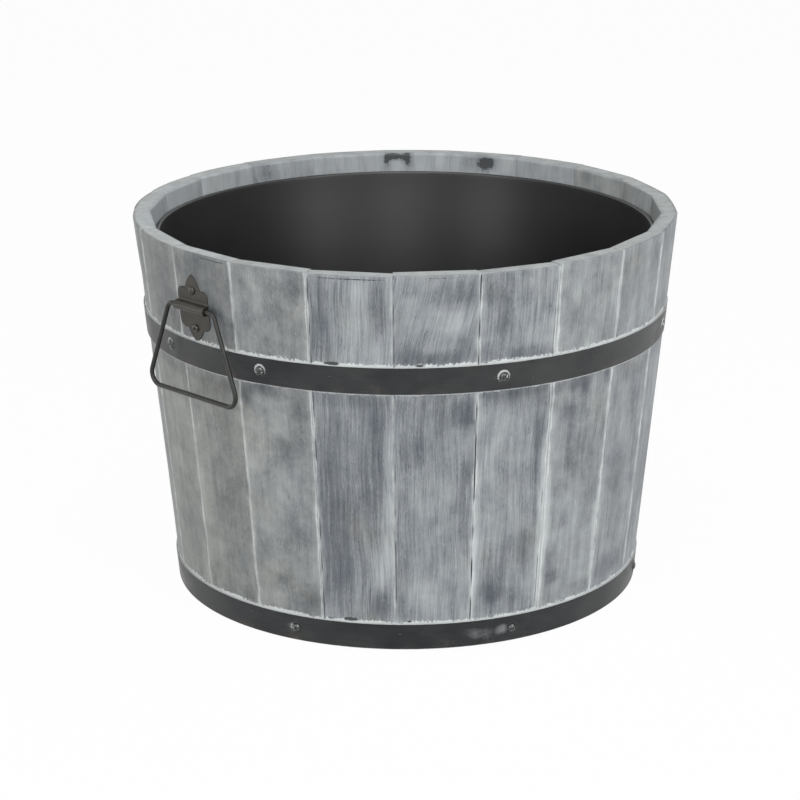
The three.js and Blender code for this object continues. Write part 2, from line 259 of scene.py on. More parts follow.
def turned_mesh(name: str, profile: np.ndarray, segments: int, crease: float) -> bpy.types.Mesh:
    """A turned shape about Z from points of (radius, height), both ends on the axis."""
    draft = MeshDraft()
    angles = np.arange(segments) * math.tau / segments
    ring = np.stack([np.cos(angles), np.sin(angles)], -1)
    middle = profile[1:-1]
    walls = np.zeros((len(middle), segments, 3))
    walls[..., :2] = middle[:, None, :1] * ring[None]
    walls[..., 2] = middle[:, None, 1]
    grid = draft.lay(walls)
    draft.web(grid, loop_columns=True)
    for pole, row in ((profile[0], grid[0]), (profile[-1], grid[-1])):
        tip = int(draft.lay(np.array([[0.0, 0.0, pole[1]]]))[0])
        for here, there in zip(row, np.roll(row, -1)):
            draft.cap((tip, here, there))
    return draft.mesh(name, crease)


def sheet_shell(
    draft: MeshDraft, middle: np.ndarray, thickness: float, ease: float, painted: dict[str, np.ndarray]
) -> None:
    """Closes a sheet of even thickness round its middle surface, with eased edges.

    Args:
        draft: The mesh that takes the sheet.
        middle: Grid of points on the middle surface.
        thickness: Of the sheet.
        ease: Size of the eased edges.
        painted: Values on the grid's points.
    """
    along = np.gradient(middle, axis=0)
    across = np.gradient(middle, axis=1)
    normal = np.cross(along, across)
    normal /= np.linalg.norm(normal, axis=-1, keepdims=True)
    inset = middle.copy()
    for edge, inner in ((0, 1), (-1, -2)):
        step = middle[inner] - middle[edge]
        inset[edge] += step * (ease / np.linalg.norm(step, axis=-1, keepdims=True))
        step = middle[:, inner] - middle[:, edge]
        inset[:, edge] += step * (ease / np.linalg.norm(step, axis=-1, keepdims=True))
    rows, columns = middle.shape[:2]
    rim = [(0, j) for j in range(columns)]
    rim += [(i, columns - 1) for i in range(1, rows)]
    rim += [(rows - 1, j) for j in range(columns - 2, -1, -1)]
    rim += [(i, 0) for i in range(rows - 2, 0, -1)]
    at = tuple(np.array(rim).T)
    loops = []
    for face in (1, -1):
        grid = draft.lay(inset + face * normal * thickness / 2, **painted)
        draft.web(grid)
        edge = draft.lay(
            middle[at] + face * normal[at] * (thickness / 2 - ease),
            **{name: values[at] for name, values in painted.items()},
        )
        loops += [grid[at], edge] if face == 1 else [edge, grid[at]]
    draft.web(np.stack(loops), loop_columns=True)


# ---------------------------------------------------------------- shader wiring
Socket = bpy.types.NodeSocket
Feed = Socket | float | Sequence[float]


class Wiring:
    """Adds and joins the nodes of one shader tree."""

    def __init__(self, tree: bpy.types.NodeTree) -> None:
        """Works on the given tree."""
        self.tree = tree

    def add(self, kind: str, **settings: object) -> bpy.types.Node:
        """A new node of a kind, with its own properties set."""
        node = self.tree.nodes.new(kind)
        for name, value in settings.items():
            setattr(node, name, value)
        return node

    def feed(self, socket: Socket, value: Feed) -> None:
        """Joins a socket to the value's socket, or sets it to the value itself."""
        if isinstance(value, Socket):
            self.tree.links.new(value, socket)
        else:
            socket.default_value = value

    def math(self, operation: str, first: Feed, second: Feed = 0.0, third: Feed = 0.0) -> Socket:
        """A Math node's result."""
        node = self.add("ShaderNodeMath", operation=operation)
        for socket, value in zip(node.inputs, (first, second, third)):
            self.feed(socket, value)
        return node.outputs[0]

    def times(self, first: Feed, second: Feed) -> Socket:
        """Product of two values."""
        return self.math("MULTIPLY", first, second)

    def scaled(self, value: Feed, factor: Feed, added: Feed) -> Socket:
        """A value times a factor, and something added."""
        return self.math("MULTIPLY_ADD", value, factor, added)

    def less(self, value: Feed, taken: Feed) -> Socket:
        """A value with another taken away."""
        return self.math("SUBTRACT", value, taken)

    def larger(self, first: Feed, second: Feed) -> Socket:
        """The larger of two values."""
        return self.math("MAXIMUM", first, second)

    def total(self, *values: Feed) -> Socket:
        """Sum of two or more values."""
        result = values[0]
        for value in values[1:]:
            result = self.math("ADD", result, value)
        return result

    def span(
        self,
        value: Feed,
        low: Feed,
        high: Feed,
        start: Feed = 0.0,
        end: Feed = 1.0,
        curve: str = "SMOOTHSTEP",
    ) -> Socket:
        """Carries a value from between low and high to between start and end, held at both ends."""
        node = self.add("ShaderNodeMapRange", interpolation_type=curve)
        for socket, given in zip(node.inputs, (value, low, high, start, end)):
            self.feed(socket, given)
        return node.outputs[0]

    def split(self, vector: Feed) -> tuple[Socket, Socket, Socket]:
        """The three parts of a vector."""
        node = self.add("ShaderNodeSeparateXYZ")
        self.feed(node.inputs[0], vector)
        return node.outputs[0], node.outputs[1], node.outputs[2]

    def blend(self, share: Feed, first: Feed, second: Feed, mode: str = "MIX") -> Socket:
        """A colour between two, or one laid on the other by a blending mode."""
        node = self.add("ShaderNodeMix", data_type="RGBA", blend_type=mode)
        self.feed(node.inputs[0], share)
        self.feed(node.inputs[6], first)
        self.feed(node.inputs[7], second)
        return node.outputs[2]

    def noise(self, place: Feed, scale: Feed, detail: float = 2.0, rough: float = 0.5) -> Socket:
        """Soft noise about 0.5."""
        node = self.add("ShaderNodeTexNoise")
        return self.fill(node, Vector=place, Scale=scale, Detail=detail, Roughness=rough).outputs[0]

    def painted(self, name: str) -> Socket:
        """The three values painted on a mesh under a name."""
        return self.add("ShaderNodeAttribute", attribute_name=name).outputs["Vector"]

    def fill(self, node: bpy.types.Node, **feeds: Feed) -> bpy.types.Node:
        """Feeds a node's inputs by name, with _ for a space, and gives the node back."""
        for name, value in feeds.items():
            self.feed(node.inputs[name.replace("_", " ")], value)
        return node

    def group(self, tree: bpy.types.NodeTree, **feeds: Feed) -> bpy.types.Node:
        """A shared group in this tree, its inputs fed by name."""
        return self.fill(self.add("ShaderNodeGroup", node_tree=tree), **feeds)


def shader_group(
    name: str,
    inputs: dict[str, tuple[str, float]],
    outputs: dict[str, str],
    wire: Callable[[Wiring, dict[str, Socket]], dict[str, Socket]],
) -> bpy.types.NodeTree:
    """Makes a shared effect as a shader node group.

    Args:
        name: Name of the effect.
        inputs: Kind of socket and default value of each input.
        outputs: Kind of socket of each output.
        wire: Wires the effect from its input sockets and gives its outputs.

    Returns:
        The group's node tree.
    """
    tree = bpy.data.node_groups.new(name, "ShaderNodeTree")
    for label, (kind, default) in inputs.items():
        socket = tree.interface.new_socket(name=label, in_out="INPUT", socket_type=kind)
        if kind == "NodeSocketFloat":
            socket.default_value = default
    for label, kind in outputs.items():
        tree.interface.new_socket(name=label, in_out="OUTPUT", socket_type=kind)
    wiring = Wiring(tree)
    entry = wiring.add("NodeGroupInput")
    leaving = wiring.add("NodeGroupOutput")
    made = wire(wiring, {label: entry.outputs[label] for label in inputs})
    for label, socket in made.items():
        wiring.feed(leaving.inputs[label], socket)
    return tree


VECTOR = ("NodeSocketVector", 0.0)
NUMBER = ("NodeSocketFloat", 1.0)


def wire_strokes(w: Wiring, sockets: dict[str, Socket]) -> dict[str, Socket]:
    """Long thin marks along the third direction of Place, as a brush or grain leaves."""
    place = w.add("ShaderNodeVectorMath", operation="MULTIPLY")
    w.feed(place.inputs[0], sockets["Place"])
    across = w.math("DIVIDE", 1.0, sockets["Width"])
    along = w.math("DIVIDE", 1.0, sockets["Length"])
    pitch = w.add("ShaderNodeCombineXYZ")
    for socket, value in zip(pitch.inputs, (across, across, along)):
        w.feed(socket, value)
    w.feed(place.inputs[1], pitch.outputs[0])
    marks = w.noise(place.outputs[0], 1.0, detail=2.0, rough=0.5)
    level = w.scaled(w.less(marks, 0.5), sockets["Strength"], 0.0)
    return {"Level": level}


def wire_line(w: Wiring, sockets: dict[str, Socket]) -> dict[str, Socket]:
    """A painted line that starts at distance 0 and has a wandering far edge."""
    reach = w.times(sockets["Width"], sockets["Wander"])
    near = w.times(reach, 0.55)
    return {"Mask": w.span(sockets["Distance"], reach, near)}


def wire_ragged(w: Wiring, sockets: dict[str, Socket]) -> dict[str, Socket]:
    """How a painted edge wanders, and the dabs that it breaks up into, both about 0."""
    wander = w.less(w.noise(sockets["Place"], 85.0, 2.0, 0.5), 0.5)
    dabs = w.less(w.noise(sockets["Place"], 480.0, 4.0, 0.65), 0.5)
    return {"Wander": wander, "Dabs": dabs}


def wire_clouds(w: Wiring, sockets: dict[str, Socket]) -> dict[str, Socket]:
    """Soft patches about 0, for uneven colour and gloss."""
    pitch = w.math("DIVIDE", 1.0, sockets["Size"])
    patches = w.noise(sockets["Place"], pitch, detail=4.0, rough=0.6)
    return {"Level": w.times(w.less(patches, 0.5), sockets["Strength"])}


@dataclass(frozen=True)
class Mark:
    """A kind of brush or grain mark: its width, its length and how strongly it shows."""

    width: float
    length: float
    strength: float


@dataclass(frozen=True)
class Effects:
    """The shared effects that the finishes are mixed from."""

    strokes: bpy.types.NodeTree
    line: bpy.types.NodeTree
    ragged: bpy.types.NodeTree
    clouds: bpy.types.NodeTree

    @classmethod
    def make(cls) -> "Effects":
        """Builds each group once."""
        out = {"Level": "NodeSocketFloat"}
        return cls(
            strokes=shader_group(
                "brush_strokes",
                {"Place": VECTOR} | dict.fromkeys(("Width", "Length", "Strength"), NUMBER),
                out,
                wire_strokes,
            ),
            line=shader_group(
                "paint_line",
                dict.fromkeys(("Distance", "Width", "Wander"), NUMBER),
                {"Mask": "NodeSocketFloat"},
                wire_line,
            ),
            ragged=shader_group(
                "ragged_edge",
                {"Place": VECTOR},
                dict.fromkeys(("Wander", "Dabs"), "NodeSocketFloat"),
                wire_ragged,
            ),
            clouds=shader_group(
                "soft_patches",
                {"Place": VECTOR} | dict.fromkeys(("Size", "Strength"), NUMBER),
                out,
                wire_clouds,
            ),
        )

    def stroke(self, w: Wiring, place: Socket, mark: Mark) -> Socket:
        """Strokes of one kind in a material."""
        feeds = {"Place": place, "Width": mark.width, "Length": mark.length, "Strength": mark.strength}
        return w.group(self.strokes, **feeds).outputs[0]

    def cloud(self, w: Wiring, place: Socket, size: float, strength: float = 1.0) -> Socket:
        """Soft patches of one size in a material."""
        return w.group(self.clouds, Place=place, Size=size, Strength=strength).outputs[0]


def new_material(name: str) -> tuple[bpy.types.Material, Wiring, bpy.types.Node]:
    """An empty material with its wiring and its Principled shader."""
    material = bpy.data.materials.new(name)
    material.use_nodes = True
    material.node_tree.nodes.clear()
    w = Wiring(material.node_tree)
    surface = w.add("ShaderNodeBsdfPrincipled")
    output = w.add("ShaderNodeOutputMaterial")
    w.feed(output.inputs["Surface"], surface.outputs[0])
    return material, w, surface


def bumped(w: Wiring, surface: bpy.types.Node, height: Socket, distance: float, strength: float) -> None:
    """Feeds the surface's normal from a height field."""
    bump = w.fill(w.add("ShaderNodeBump"), Strength=strength, Distance=distance, Height=height)
    w.feed(surface.inputs["Normal"], bump.outputs[0])


# ---------------------------------------------------------------- finishes
@dataclass(frozen=True)
class LimedWood:
    """Dark blue-grey stain under a thin whitewash that was brushed on along the grain."""

    effects: Effects
    ledges: tuple[float, ...]
    undersides: tuple[float, ...]
    stain: Colour = colour(75, 80, 87)
    brown_stain: Colour = colour(82, 81, 78)
    wash: Colour = colour(176, 179, 178)
    pooled: Colour = colour(200, 204, 204)
    crack: Colour = colour(52, 55, 57)
    raw: Colour = colour(116, 108, 97)
    raw_dark: Colour = colour(78, 72, 65)
    warm: Colour = colour(244, 243, 236)
    cool: Colour = colour(240, 243, 248)
    hair: Mark = Mark(0.7 * MM, 22 * MM, 0.5)
    fine: Mark = Mark(1.6 * MM, 50 * MM, 0.42)
    mid: Mark = Mark(4.5 * MM, 100 * MM, 0.42)
    patch: Mark = Mark(13 * MM, 38 * MM, 0.55)
    fleck: Mark = Mark(0.55 * MM, 3.6 * MM, 1.0)
    hairline: float = 0.75 * MM
    ledge_reach: float = 3.0 * MM
    underside_reach: float = 1.6 * MM
    underside_strength: float = 0.7
    behind_hoop: float = 4 * MM

    def make(self) -> bpy.types.Material:
        """Wires the finish."""
        material, w, surface = new_material("limed_wood")
        brush = w.painted("brush")
        streaky, cloudy, warmth = w.split(w.painted("manner"))
        wash, bare, level = w.split(w.painted("paint"))
        ragged = w.group(self.effects.ragged, Place=brush)
        amount, fine = self.amount(w, brush, wash, streaky, cloudy)
        hue = self.effects.cloud(w, brush, 0.05)
        stain = w.blend(w.span(hue, 0.06, 0.24), self.stain, self.brown_stain)
        paint = w.blend(w.span(amount, 0.12, 0.98, curve="LINEAR"), stain, self.wash)
        paint = w.blend(w.span(amount, 0.95, 1.5, 0.0, 0.75), paint, self.pooled)
        tint = w.blend(w.span(w.total(hue, warmth), 0.0, 1.0), self.cool, self.warm)
        paint = w.blend(1.0, paint, tint, "MULTIPLY")
        lines = w.larger(self.joint_lines(w, ragged), self.ledge_lines(w, level, ragged))
        paint = w.blend(w.times(lines, 0.9), paint, self.pooled)
        paint = w.blend(self.cracks(w, ragged), paint, self.crack)
        raw = w.blend(w.span(fine, -0.15, 0.15), self.raw_dark, self.raw)
        bare_edge = w.span(w.times(bare, w.total(fine, 1.0)), 0.35, 0.65)
        paint = w.blend(bare_edge, paint, raw)
        w.fill(surface, Base_Color=paint, Roughness=w.span(amount, 0.2, 0.9, 0.52, 0.7))
        build_up = w.scaled(lines, 0.8, w.times(amount, 0.7))
        bumped(w, surface, w.scaled(fine, 1.2, build_up), 0.22 * MM, 0.6)
        return material

    def amount(
        self, w: Wiring, brush: Socket, wash: Socket, streaky: Socket, cloudy: Socket
    ) -> tuple[Socket, Socket]:
        """How thick the wash lies, about 0.7 where it was simply brushed on, and its finest marks.

        The bristles' marks show most where the wash is half worn through.
        """
        marks = (self.hair, self.fine, self.mid, self.patch, self.fleck)
        hair, fine, mid, patch, fleck = (self.effects.stroke(w, brush, mark) for mark in marks)
        cloud = self.effects.cloud(w, brush, 18 * MM, 0.7)
        broad = self.effects.cloud(w, brush, 0.12, 0.4)
        soft = w.total(w.times(cloud, cloudy), w.times(mid, streaky), patch, broad)
        torn = w.scaled(w.total(hair, fine, patch), 2.2, 0.95)
        base = w.total(w.scaled(w.times(wash, torn), 0.47, 0.6), soft)
        half_worn = w.math("PINGPONG", w.span(base, 0.0, 0.9, 0.0, 2.0, curve="LINEAR"), 1.0)
        bristles = w.times(w.total(hair, fine), w.scaled(cloud, 3.0, streaky))
        comb = w.times(bristles, w.scaled(half_worn, 0.9, 0.5))
        missed = w.less(w.span(fleck, 0.1, 0.2, 0.0, 0.25), w.span(fleck, -0.1, -0.2, 0.0, 0.32))
        comb = w.scaled(missed, w.scaled(half_worn, 0.7, 0.15), comb)
        return w.total(base, comb), w.times(w.total(hair, fine), 1.6)

    def joint_lines(self, w: Wiring, ragged: bpy.types.Node) -> Socket:
        """Mask of the wash that has settled in the joints, with a thin skirt beside it."""
        lines: Feed = 0.0
        for side in ("left", "right"):
            away, reach, bead = w.split(w.painted(side))
            swing = w.total(w.times(ragged.outputs["Wander"], 1.3), 1.0)
            far = w.larger(w.times(reach, swing), 0.2 * MM)
            core = w.span(away, w.times(far, 1.25), w.times(far, 0.75))
            core = w.times(core, w.span(away, 0.0, w.times(far, 0.6), 0.45, 1.0))
            skirt = w.span(away, w.times(far, 3.4), w.times(far, 0.9), 0.0, 0.25)
            broken = w.times(bead, w.scaled(ragged.outputs["Dabs"], 1.2, 1.0))
            lines = w.larger(lines, w.times(w.larger(core, skirt), broken))
        return lines

    def ledge_lines(self, w: Wiring, level: Socket, ragged: bpy.types.Node) -> Socket:
        """Mask of the wash that lies along the hoops' edges and breaks up away from them."""
        dabs = w.times(ragged.outputs["Dabs"], 2.8)
        swing = w.scaled(ragged.outputs["Wander"], 1.4, dabs)
        lines: Feed = 0.0
        reaches = [(edge, 1.0, self.ledge_reach, 1.0) for edge in self.ledges]
        under = (-1.0, self.underside_reach, self.underside_strength)
        reaches += [(edge, *under) for edge in self.undersides]
        for edge, way, reach, strength in reaches:
            away = w.times(w.less(level, edge), way)
            cover = w.less(swing, w.math("DIVIDE", away, reach))
            band = w.times(w.span(cover, -0.66, -0.4), w.math("GREATER_THAN", away, -self.behind_hoop))
            lines = w.larger(lines, w.times(band, strength))
        return lines

    def cracks(self, w: Wiring, ragged: bpy.types.Node) -> Socket:
        """Mask of the dark hairlines in and beside the joints, and of the nicks in the painted edges."""
        beside = w.split(w.painted("split"))
        opened = w.split(w.painted("open"))
        nick = w.scaled(ragged.outputs["Dabs"], 1.2, opened[2])
        dark = w.span(nick, 0.42, 0.62)
        for away, strength in zip(beside[:2], opened[:2]):
            line = w.span(w.math("ABSOLUTE", away), self.hairline, 0.2 * MM)
            dark = w.larger(dark, w.times(line, strength))
        return dark


@dataclass(frozen=True)
class BoardWood:
    """Plain sawn boards, greyed by damp."""

    effects: Effects
    light: Colour = colour(150, 142, 128)
    dark: Colour = colour(98, 90, 79)
    grain: Mark = Mark(2.2 * MM, 90 * MM, 1.4)
    pores: Mark = Mark(0.6 * MM, 25 * MM, 0.9)

    def make(self) -> bpy.types.Material:
        """Wires the finish."""
        material, w, surface = new_material("board_wood")
        place = w.painted("brush")
        grain = self.effects.stroke(w, place, self.grain)
        fine = self.effects.stroke(w, place, self.pores)
        damp = self.effects.cloud(w, place, 0.12, 0.8)
        level = w.total(grain, fine, damp, 0.5)
        w.fill(surface, Base_Color=w.blend(w.span(level, 0.0, 1.0), self.dark, self.light), Roughness=0.8)
        bumped(w, surface, w.total(grain, fine), 0.3 * MM, 0.6)
        return material


@dataclass(frozen=True)
class GraphiteSteel:
    """Dark satin paint on strap steel, with wash left along its edges and round its screws."""

    effects: Effects
    paint: Colour = colour(20, 23, 27)
    rubbed: Colour = colour(58, 59, 59)
    brown: Colour = colour(82, 74, 66)
    wash: Colour = colour(184, 188, 188)
    specular: float = 0.25

    def make(self) -> bpy.types.Material:
        """Wires the finish."""
        material, w, surface = new_material("graphite_steel")
        place = w.painted("strip")
        _, to_foot, to_top = w.split(place)
        tone = self.effects.cloud(w, place, 0.04)
        drag = w.add("ShaderNodeVectorMath", operation="MULTIPLY")
        w.feed(drag.inputs[0], place)
        drag.inputs[1].default_value = (30.0, 900.0, 1.0)
        wiped = w.less(w.noise(drag.outputs[0], 1.0, 3.0, 0.6), 0.5)
        smear, grey, dark = w.split(w.painted("smear"))
        level = w.total(w.times(tone, 1.6), w.times(wiped, 0.5), 0.45)
        # dark is painted shade by bearing round the hoop, darkening the paint; below 0 it is painted
        # light
        metal = w.blend(w.span(w.less(level, dark), -0.6, 1.0), self.paint, self.rubbed)
        patch = self.effects.cloud(w, place, 0.025)
        # browner in patches along the strap's lower edge
        foot_brown_band = w.times(w.span(to_foot, 9 * MM, 0.0), w.span(patch, 0.0, 0.2))
        metal = w.blend(w.times(foot_brown_band, 0.55), metal, self.brown)
        wander = w.total(w.noise(place, 150.0, 3.0, 0.65), w.noise(place, 800.0, 1.0), -0.55)
        top = w.group(self.effects.line, Distance=to_top, Width=1.0 * MM, Wander=wander).outputs[0]
        foot = w.group(self.effects.line, Distance=to_foot, Width=0.7 * MM, Wander=wander).outputs[0]
        left_on = w.span(w.scaled(wiped, 0.9, smear), 0.3, 0.75)
        haze = w.span(w.scaled(patch, 1.8, grey), 0.25, 1.0, 0.0, 0.4)
        white = w.larger(w.larger(top, foot), w.larger(left_on, haze))
        w.feed(surface.inputs["Base Color"], w.blend(w.times(white, 0.88), metal, self.wash))
        rough = w.scaled(white, 0.2, w.span(tone, -0.2, 0.2, 0.36, 0.5))
        w.fill(surface, Roughness=rough, Specular_IOR_Level=self.specular)
        bumped(w, surface, w.total(wiped, white), 0.06 * MM, 0.5)
        return material


@dataclass(frozen=True)
class SpottedSteel:
    """Blackened screw heads with wash caught on them."""

    effects: Effects
    name: str
    steel: Colour = colour(96, 98, 98)
    wash: Colour = colour(205, 207, 205)
    cover: float = 0.57
    shadow: Colour = colour(60, 61, 61)

    def make(self) -> bpy.types.Material:
        """Wires the finish."""
        material, w, surface = new_material(self.name)
        place = w.add("ShaderNodeTexCoord").outputs["Object"]
        spots = w.noise(place, 420.0, 3.0, 0.6)
        tone = self.effects.cloud(w, place, 0.003, 0.5)
        white = w.span(spots, self.cover, self.cover + 0.12)
        metal = w.blend(w.span(tone, -0.25, 0.25), self.shadow, self.steel)
        w.fill(
            surface,
            Base_Color=w.blend(white, metal, self.wash),
            Metallic=w.span(white, 0.0, 1.0, 0.75, 0.0),
            Roughness=w.span(white, 0.0, 1.0, 0.36, 0.65),
        )
        bumped(w, surface, w.total(white, tone), 0.15 * MM, 0.6)
        return material


@dataclass(frozen=True)
class LacqueredIron:
    """Dark lacquer on iron, satin, a little rubbed."""

    effects: Effects
    name: str
    lacquer: Colour
    rubbed: Colour
    metallic: float = 0.45

    def make(self) -> bpy.types.Material:
        """Wires the finish."""
        material, w, surface = new_material(self.name)
        place = w.add("ShaderNodeTexCoord").outputs["Object"]
        tone = self.effects.cloud(w, place, 0.018, 0.8)
        speck = self.effects.cloud(w, place, 0.0016, 0.5)
        level = w.total(tone, speck, 0.25)
        w.fill(
            surface,
            Base_Color=w.blend(w.span(level, 0.0, 1.0), self.lacquer, self.rubbed),
            Metallic=self.metallic,
            Roughness=w.span(tone, -0.3, 0.3, 0.34, 0.5),
        )
        bumped(w, surface, w.total(tone, speck), 0.08 * MM, 0.5)
        return material


@dataclass(frozen=True)
class LinerPlastic:
    """Moulded charcoal plastic with a satin skin."""

    effects: Effects
    resin: Colour = colour(17, 17, 18)
    dusty: Colour = colour(24, 24, 24)
    specular: float = 0.62

    def make(self) -> bpy.types.Material:
        """Wires the finish."""
        material, w, surface = new_material("liner_plastic")
        place = w.add("ShaderNodeTexCoord").outputs["Object"]
        tone = self.effects.cloud(w, place, 0.16)
        skin = w.noise(place, 1400.0, 2.0, 0.5)
        w.fill(
            surface,
            Base_Color=w.blend(w.span(tone, -0.3, 0.3), self.resin, self.dusty),
            Roughness=w.span(tone, -0.3, 0.3, 0.36, 0.42),
            Specular_IOR_Level=self.specular,
        )
        bumped(w, surface, skin, 0.05 * MM, 0.4)
        return material


@dataclass(frozen=True)
class Finishes:
    """Every finish of the planter, made once."""

    limed: bpy.types.Material
    board: bpy.types.Material
    hoop: bpy.types.Material
    hoop_rivet: bpy.types.Material
    screw: bpy.types.Material
    plate_screw: bpy.types.Material
    iron: bpy.types.Material
    wire: bpy.types.Material
    plastic: bpy.types.Material


# ---------------------------------------------------------------- the barrel's shape
@dataclass(frozen=True)
class BarrelForm:
    """The barrel that every piece is fitted to.

    Staves are counted from the front: 0 faces -Y, and the count grows towards +X.
    """

    staves: int = 21
    height: float = 334 * MM
    rim_rise: float = 3.2 * MM
    rim_low_side: float = math.radians(-40)
    rim_radius: float = 240 * MM
    foot_radius: float = 208.5 * MM
    stave_thickness: float = 14.5 * MM
    seat: float = 0.3 * MM
    hoop_width: float = 24 * MM
    hoop_thickness: float = 1.0 * MM
    joint_chamfer: float = 1.6 * MM
    hoop_hug: float = 0.25 * MM
    upper_hoop: float = 244.5 * MM
    lower_hoop: float = 12.6 * MM
    groove_floor: float = 28 * MM
    groove_depth: float = 4 * MM
    board_thickness: float = 12 * MM

    @property
    def step(self) -> float:
        """Angle from one stave to the next."""
        return math.tau / self.staves

    @property
    def half(self) -> float:
        """Half the angle of a stave."""
        return self.step / 2

    @property
    def board_top(self) -> float:
        """Height of the base's upper face."""
        return self.groove_floor + self.seat + self.board_thickness

    @property
    def lean(self) -> float:
        """Angle of the staves from upright."""
        return math.atan2((self.rim_radius - self.foot_radius) * math.cos(self.half), self.height)

    @property
    def hoop_edges(self) -> tuple[tuple[float, int], ...]:
        """Heights of the hoops' edges that wash lies along, and which way the face runs from each."""
        half = self.hoop_width / 2
        return ((self.upper_hoop + half, 1), (self.lower_hoop + half, 1), (self.upper_hoop - half, -1))

    def top(self, stave: int, short: float = 0.0) -> float:
        """Height of a stave's top, which rises away from the rim's low side."""
        away = stave * self.step - self.rim_low_side
        return self.height + self.rim_rise * (1 - math.cos(away)) / 2 - short

    def flat(self, height: np.ndarray | float) -> np.ndarray | float:
        """Distance from the barrel's axis to the staves' outer faces."""
        radius = self.foot_radius + (self.rim_radius - self.foot_radius) * height / self.height
        return radius * math.cos(self.half)

    def hoop_inner(self, height: np.ndarray | float) -> np.ndarray | float:
        """Inner radius of a round hoop, which bears on the eased corners of the staves."""
        flat = self.flat(height)
        corner = np.hypot(flat, flat * math.tan(self.half) - self.joint_chamfer)
        return corner + self.seat - self.hoop_hug

    def hoop_frame(self, angle: float, height: float, lift: float = 0.0) -> Matrix:
        """Frame on the inside of a hoop at a bearing: z out of the hoop, square to it."""
        lean = math.atan2(self.hoop_inner(self.height) - self.hoop_inner(0.0), self.height)
        place = Matrix.Translation((0, -self.hoop_inner(height), height))
        tip = Matrix.Rotation(math.pi / 2 + lean, 4, "X")
        return Matrix.Rotation(angle, 4, "Z") @ place @ tip @ Matrix.Translation((0, 0, lift))

    def turned(self, stave: int, points: np.ndarray) -> np.ndarray:
        """Points of the front stave carried round to another stave."""
        c, s = math.cos(stave * self.step), math.sin(stave * self.step)
        x, y = points[..., 0], points[..., 1]
        return np.stack([x * c - y * s, x * s + y * c, points[..., 2]], -1)

    def face_frame(self, stave: int, across: float, height: float, lift: float = 0.0) -> Matrix:
        """Frame on a stave's face: x across, y up the face, z out of it."""
        turn = Matrix.Rotation(stave * self.step, 4, "Z")
        place = Matrix.Translation((across, -self.flat(height), height))
        tip = Matrix.Rotation(math.pi / 2 + self.lean, 4, "X")
        return turn @ place @ tip @ Matrix.Translation((0, 0, lift))

    def node(self, stave: int) -> str:
        """Name of a stave's construction node."""
        return f"stave_{stave + (self.staves + 1) // 2:02d}"

    def count(self) -> range:
        """The staves from the back on the left, round the front, to the back on the right."""
        return range(-(self.staves // 2), self.staves // 2 + 1)


def bearing_of(node: str) -> float:
    """Bearing round the barrel of a construction node."""
    low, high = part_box(node)
    middle = (Vector(low) + Vector(high)) / 2
    return math.atan2(middle.x, -middle.y)


# ---------------------------------------------------------------- staves
@dataclass(frozen=True)
class Rub:
    """A patch of a face, in millimetres, where the wash is thinner or thicker than around it; some
    patches are painted shade.
    """

    across: float
    height: float
    wide: float
    tall: float
    tone: float

    def paint(self, across: np.ndarray, height: np.ndarray) -> np.ndarray:
        """The patch's share at places on the face, in metres."""
        sideways = np.abs(across / MM - self.across) / self.wide
        upward = np.abs(height / MM - self.height) / self.tall
        return self.tone * np.exp(-(sideways**3) - upward**3)


def rubs(*rows: tuple[float, ...]) -> tuple[Rub, ...]:
    """Rubs from rows of across, height, wide, tall and tone."""
    return tuple(Rub(*row) for row in rows)


def rubbed(patches: tuple[Rub, ...], across: np.ndarray, height: np.ndarray) -> np.ndarray:
    """The patches' shares at places on a face, added up."""
    return sum((patch.paint(across, height) for patch in patches), np.zeros_like(height))


@dataclass(frozen=True)
class StaveBrushing:
    """How one stave was brushed.

    Attributes:
        rubs: Patches on its outer face.
        inner_rubs: Patches on its inner face.
        slant: Sideways drift of the strokes for each unit of height.
        streaky: Strength of the streaks.
        cloudy: Strength of the soft patches.
        warmth: From 0, bluish, to 1, yellowish.
        drop: How far its top stops short of its neighbours.
        nicks: Dark dents in the painted edges of its outer face.
    """

    rubs: tuple[Rub, ...] = ()
    inner_rubs: tuple[Rub, ...] = ()
    slant: float = 0.0
    streaky: float = 0.9
    cloudy: float = 0.9
    warmth: float = 0.3
    drop: float = 0.0
    nicks: tuple[Rub, ...] = ()

    @classmethod
    def by_chance(cls, stave: int) -> "StaveBrushing":
        """Brushing for a stave that isn't listed."""
        chance = np.random.default_rng(500 + stave)
        rubs = [
            Rub(
                across=chance.uniform(-30, 30),
                height=chance.choice([225, 270, 320, 190, 120, 50]) + chance.uniform(-12, 12),
                wide=chance.uniform(5, 16),
                tall=chance.uniform(10, 45),
                tone=-chance.uniform(0.15, 0.6),
            )
            for _ in range(8)
        ]
        # a band of thinner wash and painted shade just under the upper hoop, and a band of thinner wash
        # just above it
        rubs += [Rub(0, 226, 36, 6, -0.5), Rub(0, 266, 36, 7, -chance.uniform(0, 0.7))]
        rubs += [Rub(chance.uniform(-25, 25), chance.uniform(60, 160), 7, 50, 0.35)]
        inner = (Rub(chance.uniform(-25, 25), 326, chance.uniform(4, 14), 9, -chance.uniform(0.1, 0.7)),)
        return cls(
            tuple(rubs),
            inner,
            slant=chance.uniform(-0.08, 0.08),
            streaky=chance.uniform(0.6, 1.3),
            cloudy=chance.uniform(0.4, 1.1),
            warmth=chance.uniform(0.1, 0.8) if abs(stave) < 6 else 0.75,
        )


# where rubs pile up, some brushed paint still stays
DEEPEST_RUB = -0.8
